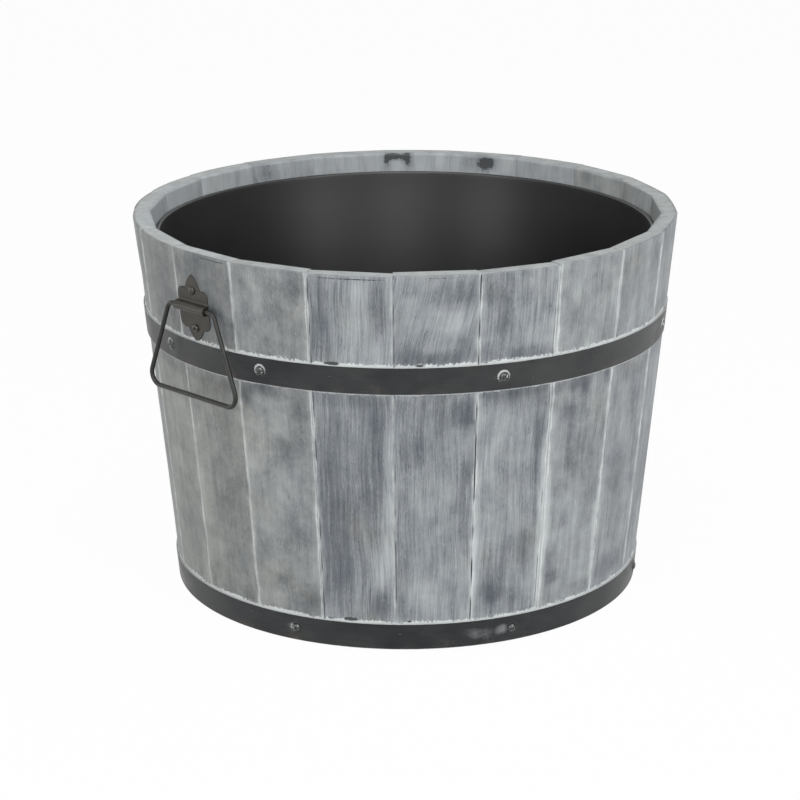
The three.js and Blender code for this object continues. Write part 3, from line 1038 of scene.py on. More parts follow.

# The wide rubs over the whole upper face of staves -6, -5 and -4, such as (0, 300, 45, 60, -0.6), are
# painted shade on the barrel's darker left side.
BRUSHING: dict[int, StaveBrushing] = {
    # Rubs at about 226 mm span the stave just under the upper hoop: thinner wash, and painted shade under
    # the hoop.
    -6: StaveBrushing(
        rubs(
            (10, 290, 14, 40, -0.3), (8, 100, 12, 60, -0.2), (0, 226, 30, 6, -0.4),
            (0, 300, 45, 60, -0.6),
        ),
        streaky=0.5,
        cloudy=0.9,
        warmth=0.95,
    ),
    -5: StaveBrushing(
        rubs(
            (4, 300, 44, 45, -0.4), (-12, 322, 22, 9, -0.6), (26, 300, 6, 30, 0.2),
            (-4, 312, 12, 14, -0.25), (10, 120, 22, 85, -0.5), (-28, 135, 5, 40, 0.2),
            (-28, 30, 6, 20, -0.3), (22, 30, 12, 12, -0.3), (5, 224, 34, 6, -0.4),
            (0, 290, 45, 60, -0.65),
        ),
        nicks=rubs((14, 331.4, 20, 0.6, 0.8)),
        streaky=0.55,
        cloudy=0.95,
        warmth=0.85,
    ),
    -4: StaveBrushing(
        rubs(
            (0, 295, 45, 50, -0.16), (24, 317, 5, 13, -0.8), (6, 308, 12, 14, -0.45),
            (-23, 290, 8, 30, -0.4), (-30, 310, 4, 24, 0.2), (-14, 227, 18, 5, -0.9),
            (-30, 218, 6, 9, -0.7), (23, 208, 8, 24, -0.65), (12, 172, 20, 14, -0.4),
            (-6, 180, 12, 30, 0.12), (20, 97, 11, 12, -0.5), (-26, 82, 5, 26, -0.5),
            (-3, 64, 5, 16, -0.3), (24, 44, 9, 14, -0.7), (-10, 120, 18, 20, 0.12),
        ),
        streaky=0.5,
        cloudy=1.1,
        warmth=0.55,
        drop=0.4 * MM,
    ),
    -3: StaveBrushing(
        rubs(
            (-30, 292, 5, 34, -0.45), (-23, 300, 5, 30, -0.8), (-12, 304, 8, 30, -0.35),
            (25, 306, 6, 22, -0.85), (18, 312, 5, 14, -0.4), (9, 318, 8, 14, 0.35),
            (-18, 266, 5, 10, -0.5), (0, 290, 8, 26, 0.15), (0, 226, 36, 5, -0.6),
            (20, 214, 14, 14, -0.6), (22, 178, 6, 40, -0.5), (-22, 150, 10, 80, -0.5),
            (-9, 200, 6, 20, -0.3), (-9, 100, 6, 44, -0.5), (0, 130, 40, 100, -0.26),
            (6, 150, 10, 50, -0.25), (-27, 50, 6, 14, -0.3), (-16, 60, 10, 26, -0.3),
            (20, 44, 7, 12, -0.85), (30, 150, 4, 70, 0.7), (20, 76, 11, 26, 0.75), (28, 108, 6, 30, 0.5),
        ),
        slant=-0.05,
        nicks=rubs(
            (-15.5, 257.8, 7, 1.5, 1.0), (-6.5, 26.8, 7, 1.6, 1.0), (-24, 26.4, 3, 1.1, 0.7),
            (0, 331.4, 33, 0.6, 0.8),
        ),
        streaky=1.3,
        cloudy=0.45,
        warmth=0.15,
        drop=1.0 * MM,
    ),
    -2: StaveBrushing(
        rubs(
            (-20, 321, 12, 6, -0.5), (24, 318, 7, 10, -1.0), (12, 318, 8, 8, -0.6),
            (-4, 316, 12, 7, -0.3), (-28, 290, 6, 9, -0.4), (2, 263, 29, 6, -1.1), (22, 272, 8, 8, -0.5),
            (-24, 268, 6, 9, -0.4), (0, 294, 24, 10, 0.3), (24, 216, 12, 12, -0.7),
            (-20, 222, 12, 6, -0.3), (28, 160, 7, 16, -0.6), (24, 118, 9, 22, -0.4),
            (-28, 44, 4, 14, -0.6), (29, 44, 5, 12, -0.5), (-4, 52, 18, 15, 0.45),
            (-2, 148, 12, 26, 0.25), (-22, 186, 9, 26, -0.25), (-22, 95, 9, 22, -0.25),
        ),
        slant=-0.2,
        streaky=1.1,
        nicks=rubs((-13, 257.6, 5, 1.3, 0.8), (-19.5, 26.5, 3, 1.2, 0.8), (0, 331.6, 30, 0.5, 0.6)),
        cloudy=0.85,
        warmth=0.1,
    ),
    -1: StaveBrushing(
        rubs(
            (-11, 296, 8, 30, -0.6), (-25, 316, 7, 12, -0.5), (27, 304, 5, 12, -0.65),
            (-28, 266, 8, 8, -0.8), (10, 262, 24, 4, -0.8), (12, 288, 8, 18, 0.25),
            (4, 228, 34, 5, -0.9), (25, 205, 5, 26, -0.6), (23, 150, 5, 46, -0.4),
            (18, 84, 7, 20, -0.75), (-14, 50, 11, 11, -1.0), (8, 44, 8, 8, -0.4), (-4, 186, 10, 18, 0.3),
            (-31, 74, 4, 70, 0.95), (31, 100, 4, 76, 0.8), (2, 118, 10, 30, 0.2),
        ),
        slant=-0.04,
        streaky=1.2,
        cloudy=0.75,
        warmth=0.12,
        drop=0.7 * MM,
    ),
    0: StaveBrushing(
        rubs(
            (0, 295, 45, 50, 0.12), (26, 326, 6, 6, -0.5), (-20, 282, 12, 10, -0.3),
            (22, 268, 8, 10, -0.5), (-4, 227, 10, 5, -1.6), (2, 222, 6, 5, -0.9), (-30, 226, 6, 5, -0.9),
            (28, 227, 6, 5, -0.8), (-8, 202, 20, 7, -0.35), (4, 170, 12, 12, -0.3),
            (-14, 178, 10, 10, -0.25), (-18, 52, 8, 6, -1.0), (22, 34, 12, 6, -0.7),
            (-31, 110, 5, 80, 0.95), (31, 96, 5, 50, 0.7), (4, 90, 12, 24, 0.2),
        ),
        slant=-0.05,
        streaky=0.8,
        cloudy=1.1,
        warmth=0.3,
    ),
    1: StaveBrushing(
        rubs(
            (0, 295, 45, 50, -0.16), (-28, 318, 6, 13, -0.6), (-8, 300, 6, 10, -0.35),
            (25, 318, 6, 14, -0.55), (10, 220, 24, 8, -0.5), (14, 190, 9, 13, -0.45),
            (-6, 134, 18, 26, -0.4), (0, 42, 26, 10, -0.6), (-30, 80, 5, 50, 0.4),
        ),
        slant=-0.04,
        streaky=0.9,
        cloudy=0.95,
        warmth=0.2,
    ),
    6: StaveBrushing(rubs((6, 226, 20, 6, -0.5)), rubs((16, 326, 6, 9, -0.3)), cloudy=0.6, warmth=0.35),
    7: StaveBrushing(
        rubs((-10, 226, 20, 6, -0.5)),
        rubs((-4, 328, 8, 5, -1.7), (-1, 323, 5, 4, -1.3), (14, 326, 8, 9, -0.6), (-24, 326, 5, 12, 0.4)),
        cloudy=0.6,
        warmth=0.3,
    ),
    8: StaveBrushing(
        rubs((12, 226, 20, 6, -0.5)),
        rubs((8, 329, 4, 8, -1.5), (20, 331, 7, 3, -1.6), (28, 327, 3, 6, -1.3), (-20, 328, 8, 8, 0.3)),
        cloudy=0.6,
        warmth=0.3,
    ),
    9: StaveBrushing(rubs((12, 226, 20, 6, -0.5)), rubs((10, 326, 6, 12, 0.25)), cloudy=0.6, warmth=0.3),
}


@dataclass(frozen=True)
class Joint:
    """How wash has settled in the joint on the left of a stave, in millimetres.

    Attributes:
        left: Width of the settled wash on the stave to the left.
        right: The same on the stave to the right.
        strength: How well it covers.
        crack: Strength of the dark hairline along it.
        crack_at: Where that runs, to the right of the joint.
    """

    left: float = 1.3
    right: float = 1.3
    strength: float = 0.8
    crack: float = 0.25
    crack_at: float = 1.6


JOINTS: dict[int, Joint] = {
    -6: Joint(2.0, 1.8, 0.6, 0.0),
    -5: Joint(1.0, 1.0, 0.65, 0.2, -1.6),
    -4: Joint(0.9, 1.2, 0.75, 0.25, -1.8),
    -3: Joint(1.2, 1.5, 0.7, 0.6, 1.9),
    -2: Joint(1.2, 0.8, 0.4, 0.5, 1.0),
    -1: Joint(1.0, 1.9, 0.75, 0.9, 0.5),
    0: Joint(1.8, 2.4, 0.85, 0.35, -2.4),
    1: Joint(1.6, 1.3, 0.85, 0.35, 1.7),
    2: Joint(1.5, 1.8, 0.7, 0.2, -1.9),
}


@dataclass
class Coat:
    """How the finish lies at places on one side of a stave.

    Attributes:
        wash: How much thicker the wash is than where it was simply brushed on, with painted shade and
            painted light added in.
        level: Heights that are compared with the hoops' edges.
        streaky: Strength of the streaks.
        cloudy: Strength of the soft patches.
        warmth: From 0, bluish, to 1, yellowish.
        bare: How far it is worn to raw wood.
        nick: How far it is dented.
    """

    wash: np.ndarray
    level: np.ndarray
    streaky: float
    cloudy: float
    warmth: float
    bare: np.ndarray | float = 0.0
    nick: np.ndarray | float = 0.0


@dataclass
class StaveWall:
    """The 21 staves, eased along their joints and ends, with wash pooled in the joints."""

    form: BarrelForm
    joint_gap: float = 0.03 * MM
    joint_round: float = 1.7 * MM
    joint_depth: float = 1.5 * MM
    joint_fill: float = 0.75 * MM
    inner_ease: float = 0.25 * MM
    end_round: float = 0.8 * MM
    worn_round: float = 2.4 * MM
    worn_from: int = 5
    crown: float = 1.1 * MM
    sanded: float = 0.7 * MM
    ledge_reach: float = 3.4 * MM
    paint_lip: float = 26 * MM
    rim_run: tuple[float, float] = (274 * MM, 304 * MM)
    seam_glow: float = 0.3
    seam_reach: float = 7 * MM
    hoop_shade: float = 0.1
    inner_wash: float = 0.55
    # more wash on the inner faces of the left staves, which paints in the light falling on that side
    left_inner_wash_and_light: float = 1.15
    end_wash: float = 1.0
    left_end_wash: float = 1.4
    face_columns: int = 27
    rows: int = 56
    round_steps: int = 5
    end_rows: int = 9
    cap_rows: int = 5

    def brushing(self, stave: int) -> StaveBrushing:
        """How a stave was brushed."""
        return BRUSHING.get(stave) or StaveBrushing.by_chance(stave)

    def heights(self, top: float) -> np.ndarray:
        """Heights of a stave's sections, closer together at the ends, the groove and the hoops' edges."""
        form = self.form
        lips = np.array([form.groove_floor, form.board_top + form.seat])
        hair = 0.02 * MM
        near = np.array([-4.0, -2.6, -1.5, -0.6, 0.0, 0.6, 1.2, 1.8, 2.5, 3.5, 5.0]) * MM
        turn = np.linspace(0, math.pi / 2, self.end_rows)
        foot = self.end_round * (1 - np.cos(turn))
        head = top - self.worn_round * (1 - np.cos(turn))
        body = np.linspace(foot[-1], head[-1], self.rows)
        runs = [foot, head, body, lips - hair, lips + hair, top - np.array([3.0, 3.8, 5.0]) * MM]
        runs += [edge + way * near for edge, way in form.hoop_edges]
        places = np.unique(np.round(np.concatenate(runs), 7))
        return places[np.concatenate([[True], np.diff(places) > hair])]

    def drawn_in(self, heights: np.ndarray, top: float, head_round: float) -> np.ndarray:
        """How far the rounded ends draw each section in."""
        insets = np.zeros_like(heights)
        for away, radius in ((heights, self.end_round), (top - heights, head_round)):
            reach = np.clip(radius - away, 0, radius)
            insets += radius - np.sqrt(radius**2 - reach**2)
        return insets

    def joint_fills(self, joint: int, heights: np.ndarray) -> np.ndarray:
        """Depth of the pooled wash in a joint, which both neighbours share."""
        return self.joint_fill * (1 + 0.3 * ripple(heights, (0.11, 0.047, 0.02), 40 + joint))

    def side(self, distance: np.ndarray) -> np.ndarray:
        """Half the stave's width at a distance from the barrel's axis."""
        return distance * math.tan(self.form.half) - self.joint_gap / 2

    def filled_out(
        self, stave: int, across: np.ndarray, out: np.ndarray, heights: np.ndarray
    ) -> np.ndarray:
        """How far wash has filled the gap between the face and a hoop, along the hoops' edges."""
        inner = self.form.hoop_inner(heights)
        gap = np.maximum(np.sqrt(inner[:, None] ** 2 - across**2) - out, 0)
        fill = np.zeros_like(gap)
        for index, (edge, way) in enumerate(self.form.hoop_edges):
            away = way * (heights[:, None] - edge)
            waves = ripple(across, (0.03, 0.012), 620 + 3 * stave + index)
            reach = self.ledge_reach * (1 + 0.35 * waves)
            fill += smooth(away / reach, 1, 0) * smooth(away, -3.5 * MM, -1.5 * MM)
        return 0.88 * gap * fill

    def outer_curve(self, stave: int, heights: np.ndarray, insets: np.ndarray) -> np.ndarray:
        """Outer side of each section, from joint to joint: across and distance from the axis."""
        turn = np.linspace(math.pi / 2, 0, self.round_steps + 1)[:-1]
        out = (self.form.flat(heights) - insets)[:, None]
        edges = []
        for hand, joint in ((-1, stave), (1, stave + 1)):
            fill = self.joint_fills(joint, heights)[:, None]
            depth = self.joint_depth * (1 - np.cos(turn))[None]
            depth = np.minimum(depth, fill + 0.12 * (depth - fill))
            across = self.side(out - depth) - self.joint_round * (1 - np.sin(turn))[None]
            edges.append(np.stack([hand * across, out - depth], -1))
        spread = -np.cos(np.linspace(0, math.pi, self.face_columns))
        reach = self.side(out) - self.joint_round
        crown = self.crown * (1 + 0.15 * ripple(heights, (0.13, 0.05), 70 + stave))
        if abs(stave) > self.worn_from:
            extra = self.sanded * (2.4 if stave < 0 else 1)
            crown = crown + extra * smooth(heights, self.form.height - 60 * MM, self.form.height)
        face = np.stack([reach * spread[None], out + crown[:, None] * (1 - spread**2)[None]], -1)
        curve = np.concatenate([edges[0], face, edges[1][:, ::-1]], axis=1)
        curve[..., 1] += self.filled_out(stave, curve[..., 0], curve[..., 1], heights)
        return curve

    def inner_curve(self, heights: np.ndarray, insets: np.ndarray) -> np.ndarray:
        """Inner side of each section, let back by the groove that holds the base."""
        form = self.form
        turn = np.linspace(math.pi / 2, 0, self.round_steps + 1)[:-1]
        inside = (heights > form.groove_floor) & (heights < form.board_top + form.seat)
        floor = form.flat(form.groove_floor) - form.stave_thickness + form.groove_depth
        plain = form.flat(heights) - form.stave_thickness + insets
        inner = np.where(inside, floor, plain)[:, None]
        depth = self.inner_ease * (1 - np.cos(turn))[None]
        across = self.side(inner + depth) - self.inner_ease * (1 - np.sin(turn))[None]
        edge = np.stack([across, inner + depth], -1)
        spread = -np.cos(np.linspace(0, math.pi, self.face_columns))
        reach = self.side(inner) - self.inner_ease
        face = np.stack([reach * spread[None], inner + 0 * spread[None]], -1)
        mirrored = edge * np.array([-1, 1])
        return np.concatenate([mirrored, face, edge[:, ::-1]], axis=1)

    def joint_paint(
        self, stave: int, across: np.ndarray, height: np.ndarray, shown: bool
    ) -> dict[str, np.ndarray]:
        """Values for the joints on both sides of a stave: settled wash, and the hairlines beside it."""
        half = self.side(self.form.flat(height))
        painted, beside, opened = {}, [], []
        for name, hand, number in (("left", -1, stave), ("right", 1, stave + 1)):
            joint = JOINTS.get(number, Joint())
            away = np.maximum(half - hand * across, 0)
            width = joint.right if hand < 0 else joint.left
            reach = width * MM * (1 + 0.3 * ripple(height, (0.12, 0.05, 0.02), 440 + 2 * number + hand))
            bead = joint.strength + 0.3 * ripple(height, (0.09, 0.035, 0.013), 140 + number)
            runs = smooth(ripple(height, (0.21, 0.08, 0.03), 240 + number) + joint.crack, 0.3, 0.9)
            painted[name] = np.stack([away, reach, np.clip(bead, 0.15, 1) * shown], -1)
            beside.append(-hand * away - joint.crack_at * MM)
            opened.append(runs * min(joint.crack * 1.6, 1) * shown)
        return painted | {"beside": np.stack(beside), "opened": np.stack(opened)}

    def outer_coat(self, stave: int, across: np.ndarray, height: np.ndarray, level: np.ndarray) -> Coat:
        """The finish on the outer face, thicker beside the joints low down."""
        form, brushing = self.form, self.brushing(stave)
        wash = rubbed(brushing.rubs, across, level)
        wash = np.maximum(wash, DEEPEST_RUB * np.tanh(wash / DEEPEST_RUB))
        seam = np.maximum(self.side(form.flat(height)) - np.abs(across), 0)
        left, right = (ripple(height, (0.3, 0.12), 340 + 2 * stave + hand) for hand in (0, 1))
        glow = np.clip(0.5 + 0.6 * np.where(across < 0, left, right), 0, 1) * smooth(height, 0.24, 0.06)
        wash = wash + self.seam_glow * glow * np.exp(-((seam / self.seam_reach) ** 2))
        wash = wash - self.hoop_shade * smooth(height, form.upper_hoop, form.upper_hoop - 30 * MM)
        bare = 0.9 * smooth(height, 0.6 * MM, 0.0)
        nick = rubbed(brushing.nicks, across, level)
        return Coat(wash, level, brushing.streaky, brushing.cloudy, brushing.warmth, bare, nick)

    def inner_coat(self, stave: int, across: np.ndarray, height: np.ndarray, level: np.ndarray) -> Coat:
        """The finish on the inner face, which ends unevenly under the rim and leaves raw wood below."""
        form, brushing = self.form, self.brushing(stave)
        wash = rubbed(brushing.inner_rubs, across, level)
        lip = ripple(across, (0.05, 0.018, 0.007), 900 + stave)
        foot = form.top(stave, brushing.drop) - self.paint_lip + 4 * MM * lip
        bare = smooth(height, foot - 9 * MM, foot - 16 * MM)
        clear_of_hoops = height + 0.2 * (height < form.height - 12 * MM)
        warmth = 0.45 if 2 < stave < 6 else 0.1
        # the left staves' inner faces get more wash: painted light on that lit side
        extra = self.left_inner_wash_and_light if stave < -self.worn_from else self.inner_wash
        streaky, cloudy = 0.25 * brushing.streaky, 0.8 * brushing.cloudy
        nick = np.clip(-0.62 * wash, 0, 1)
        return Coat(wash + extra, clear_of_hoops, streaky, cloudy, warmth, bare, nick)

    def end_coat(self, stave: int, across: np.ndarray, height: np.ndarray, level: np.ndarray) -> Coat:
        """The finish on an end: well covered at the rim, nearly raw at the foot."""
        wash = np.full_like(across, self.left_end_wash if stave <= -self.worn_from else self.end_wash)
        bare = 0.0 if height.mean() > self.form.height / 2 else 0.8
        return Coat(wash, level, 0.3, 0.5, 0.4, bare)

    def painted(
        self, stave: int, across: np.ndarray, out: np.ndarray, height: np.ndarray, face: Face
    ) -> dict[str, np.ndarray]:
        """Values that the limed finish reads, at places on one side of a stave.

        Args:
            stave: The stave, counted from the front.
            across: Places from the stave's middle line.
            out: Distances from the barrel's axis.
            height: Heights above the floor.
            face: Which side of the stave they are on.

        Returns:
            Values by name.
        """
        form, brushing = self.form, self.brushing(stave)
        top = form.top(stave, brushing.drop)
        level = height - (top - form.height) * smooth(height, *self.rim_run)
        coats = {Face.OUTER: self.outer_coat, Face.INNER: self.inner_coat, Face.END: self.end_coat}
        coat = coats[face](stave, across, height, level)
        flat = np.zeros_like(height)
        chance = np.random.default_rng(800 + stave)
        offset = chance.uniform(-3, 3, 3)
        drift = brushing.slant * np.maximum(height - form.upper_hoop, 0)
        drift = drift + 0.9 * MM * ripple(height, (0.19, 0.08), 720 + stave)
        brush = np.stack([across + drift, out - form.flat(height), height], -1) + offset
        joints = self.joint_paint(stave, across, height, face is Face.OUTER)
        beside, opened = joints.pop("beside"), joints.pop("opened")
        manner = np.stack([flat + value for value in (coat.streaky, coat.cloudy, coat.warmth)], -1)
        return joints | {
            "brush": brush,
            "manner": manner,
            "split": np.stack([*beside, flat], -1),
            "open": np.stack([*opened, flat + coat.nick], -1),
            "paint": np.stack([coat.wash, flat + coat.bare, coat.level], -1),
        }

    def stave_mesh(self, stave: int) -> bpy.types.Mesh:
        """One stave, as a skin over its sections with a grid over each end."""
        form = self.form
        top = form.top(stave, self.brushing(stave).drop)
        heights = self.heights(top)
        worn = self.worn_round if abs(stave) >= self.worn_from else self.end_round
        draft = MeshDraft("left", "right", "brush", "manner", "split", "open", "paint")
        curves = (
            self.outer_curve(stave, heights, self.drawn_in(heights, top, self.end_round)),
            self.inner_curve(heights, self.drawn_in(heights, top, worn)),
        )
        grids = []
        for curve, face in zip(curves, (Face.OUTER, Face.INNER)):
            level = np.broadcast_to(heights[:, None], curve.shape[:2])
            points = form.turned(stave, np.stack([curve[..., 0], -curve[..., 1], level], -1))
            values = self.painted(stave, curve[..., 0], curve[..., 1], level, face)
            grids.append(draft.lay(points, **values))
            draft.web(grids[-1])
        outer, inner = grids
        for column in (0, -1):
            draft.web(np.stack([outer[:, column], inner[:, column]]))
        shares = np.linspace(0, 1, self.cap_rows + 2)[1:-1, None, None]
        for end in (0, -1):
            first, last = (curve[end][None] for curve in curves)
            between = first + (last - first) * shares
            level = np.full(between.shape[:2], heights[end])
            points = form.turned(stave, np.stack([between[..., 0], -between[..., 1], level], -1))
            values = self.painted(stave, between[..., 0], between[..., 1], level, Face.END)
            laid = draft.lay(points, **values)
            draft.web(np.concatenate([outer[end][None], laid, inner[end][None]]))
        return draft.mesh(form.node(stave), 50)

    def build(self, finishes: Finishes) -> None:
        """Makes and dresses every stave."""
        for stave in self.form.count():
            mesh = self.stave_mesh(stave)
            dress(mesh, self.form.node(stave), "limed", finishes.limed, Body.BARREL)


# ---------------------------------------------------------------- base
@dataclass
class Base:
    """Boards let into the groove round the staves, with gaps that drain."""

    form: BarrelForm
    boards: int = 5
    drain_gap: float = 4 * MM
    ease: float = 0.8 * MM

    def outline(self, low: float, high: float, flat: float) -> list[Vector]:
        """The base's many-sided outline between two cuts along Y."""
        radius = flat / math.cos(self.form.half)
        corners = [
            Vector((radius * math.sin(a), -radius * math.cos(a)))
            for a in (self.form.step * (i + 0.5) for i in range(self.form.staves))
        ]
        for limit, keep in ((low, 1), (high, -1)):
            kept = []
            for here, there in zip(corners, corners[1:] + corners[:1]):
                if keep * (here.x - limit) >= 0:
                    kept.append(here)
                if (here.x - limit) * (there.x - limit) < 0:
                    kept.append(here.lerp(there, (limit - here.x) / (there.x - here.x)))
            corners = kept
        return corners

    def board_mesh(self, name: str, corners: list[Vector], seed: int) -> bpy.types.Mesh:
        """One board, its edges eased."""
        solid = bmesh.new()
        bottom = self.form.groove_floor + self.form.seat
        loop = [solid.verts.new((c.x, c.y, bottom)) for c in corners]
        face = solid.faces.new(loop)
        lifted = bmesh.ops.extrude_face_region(solid, geom=[face])["geom"]
        top = [item for item in lifted if isinstance(item, bmesh.types.BMVert)]
        bmesh.ops.translate(solid, verts=top, vec=(0, 0, self.form.board_thickness))
        bmesh.ops.recalc_face_normals(solid, faces=solid.faces)
        bmesh.ops.bevel(
            solid, geom=solid.edges[:], offset=self.ease, segments=3, affect="EDGES", profile=0.5
        )
        mesh = bpy.data.meshes.new(name)
        solid.to_mesh(mesh)
        solid.free()
        offset = np.random.default_rng(seed).uniform(-2, 2, 3)
        places = np.array([v.co for v in mesh.vertices])[:, [0, 2, 1]] + offset
        layer = mesh.attributes.new("brush", "FLOAT_VECTOR", "POINT")
        layer.data.foreach_set("vector", places.astype(np.float32).ravel())
        return creased(mesh, 40)

    def build(self, finishes: Finishes) -> None:
        """Makes and dresses the boards."""
        form = self.form
        flat = form.flat(form.groove_floor) - form.stave_thickness + form.groove_depth - form.seat
        width = (2 * flat - (self.boards - 1) * self.drain_gap) / self.boards
        for index in range(self.boards):
            name = f"base_board_{index + 1}"
            left = -flat + index * (width + self.drain_gap)
            mesh = self.board_mesh(name, self.outline(left, left + width, flat), 60 + index)
            dress(mesh, name, "sawn", finishes.board, Body.BARREL)


# ---------------------------------------------------------------- screws and rivets
SQUARE = ((-1, -1), (1, -1), (1, 1), (-1, 1))


@dataclass
class Fixings:
    """Cross-recess screws and dome rivets."""

    form: BarrelForm
    head_radius: float = 3.4 * MM
    head_height: float = 2.1 * MM
    head_rim: float = 0.5 * MM
    shank_radius: float = 1.6 * MM
    grip: float = 11 * MM
    recess_length: float = 3.9 * MM
    recess_width: float = 0.95 * MM
    recess_depth: float = 1.3 * MM
    rivet_radius: float = 4.6 * MM
    rivet_height: float = 2 * MM
    rivet_shank: float = 2.1 * MM
    segments: int = 40

    def dome(self, radius: float, low: float, high: float, steps: int) -> np.ndarray:
        """Profile of a dome from its rim to its crown."""
        turn = np.linspace(0, math.pi / 2, steps)
        return np.stack([radius * np.cos(turn), low + (high - low) * np.sin(turn)], -1)

    def screw_profile(self, shank: float) -> np.ndarray:
        """Profile of a screw, the underside of its head at height 0."""
        head, thin, ease = self.head_radius, self.shank_radius, 0.15 * MM
        foot = [(0, -shank), (0.3 * thin, -shank), (thin, -shank + 3 * thin)]
        under = [(thin, 0), (head - ease, 0), (head, ease)]
        dome = self.dome(head, self.head_rim, self.head_height, 9)
        return np.concatenate([np.array(foot + under), dome[:-1], [[0, self.head_height]]])

    def screw_mesh(self, shank: float) -> bpy.types.Mesh:
        """A screw along Z with a tapered cross cut in its head."""
        blank = in_scene("blank", turned_mesh("blank", self.screw_profile(shank), self.segments, 40))
        cutters = []
        half = np.array([self.recess_length, self.recess_width]) / 2
        depths = ((self.head_height - self.recess_depth, 0.45), (self.head_height + 0.2 * MM, 1.05))
        for turn in (0, math.pi / 2):
            wedge = MeshDraft()
            rings = [
                [(x * half[0] * share, y * half[1] * (0.6 + 0.4 * share), level) for x, y in SQUARE]
                for level, share in depths
            ]
            grid = wedge.lay(np.array(rings))
            wedge.web(grid, loop_columns=True)
            wedge.cap(grid[0])
            wedge.cap(grid[1])
            mesh = wedge.mesh("wedge", 40)
            mesh.transform(Matrix.Rotation(turn, 4, "Z"))
            cutter = in_scene("wedge", mesh)
            cut = blank.modifiers.new("cross", "BOOLEAN")
            cut.operation = "DIFFERENCE"
            cut.solver = "EXACT"
            cut.object = cutter
            cutters.append(cutter)
        bpy.context.view_layer.update()
        evaluated = blank.evaluated_get(bpy.context.evaluated_depsgraph_get())
        made = bpy.data.meshes.new_from_object(evaluated)
        for spare in (blank, *cutters):
            bpy.data.objects.remove(spare)
        return creased(made, 40)

    def drive(
        self, pattern: bpy.types.Mesh, node: str, frame: Matrix, turn: float, material: bpy.types.Material
    ) -> None:
        """Sets a copy of a screw or rivet in its place, turned about its own axis."""
        mesh = pattern.copy()
        mesh.transform(frame @ Matrix.Rotation(turn, 4, "Z"))
        dress(mesh, node, "head", material, Body.BARREL)

    def rivet_mesh(self) -> bpy.types.Mesh:
        """A rivet along Z, the underside of its head at height 0."""
        shank = 2 * self.form.hoop_thickness
        ease = 0.2 * MM
        foot = [(0, -shank), (self.rivet_shank, -shank)]
        foot += [(self.rivet_shank, 0), (self.rivet_radius - ease, 0)]
        dome = self.dome(self.rivet_radius, ease, self.rivet_height, 10)
        profile = np.concatenate([np.array(foot), dome[:-1], [[0, self.rivet_height]]])
        return turned_mesh("rivet", profile, self.segments, 40)


# ---------------------------------------------------------------- hoops
@dataclass(frozen=True)
class SmearAndShading:
    """Wash dragged over a hoop, and shade and light painted on it: bearing in degrees, and the rest in
    millimetres.

    Attributes:
        bearing: Of its middle.
        rise: Of its middle, from the hoop's middle line.
        wide: Half its width.
        tall: Half its height.
        white: Strength of the wash that covers.
        grey: Strength of the thin haze round it.
        dark: Strength of the painted shade on the strap; below 0 it is painted light.
    """

    bearing: float
    rise: float
    wide: float
    tall: float
    white: float = 0.0
    grey: float = 0.0
    dark: float = 0.0


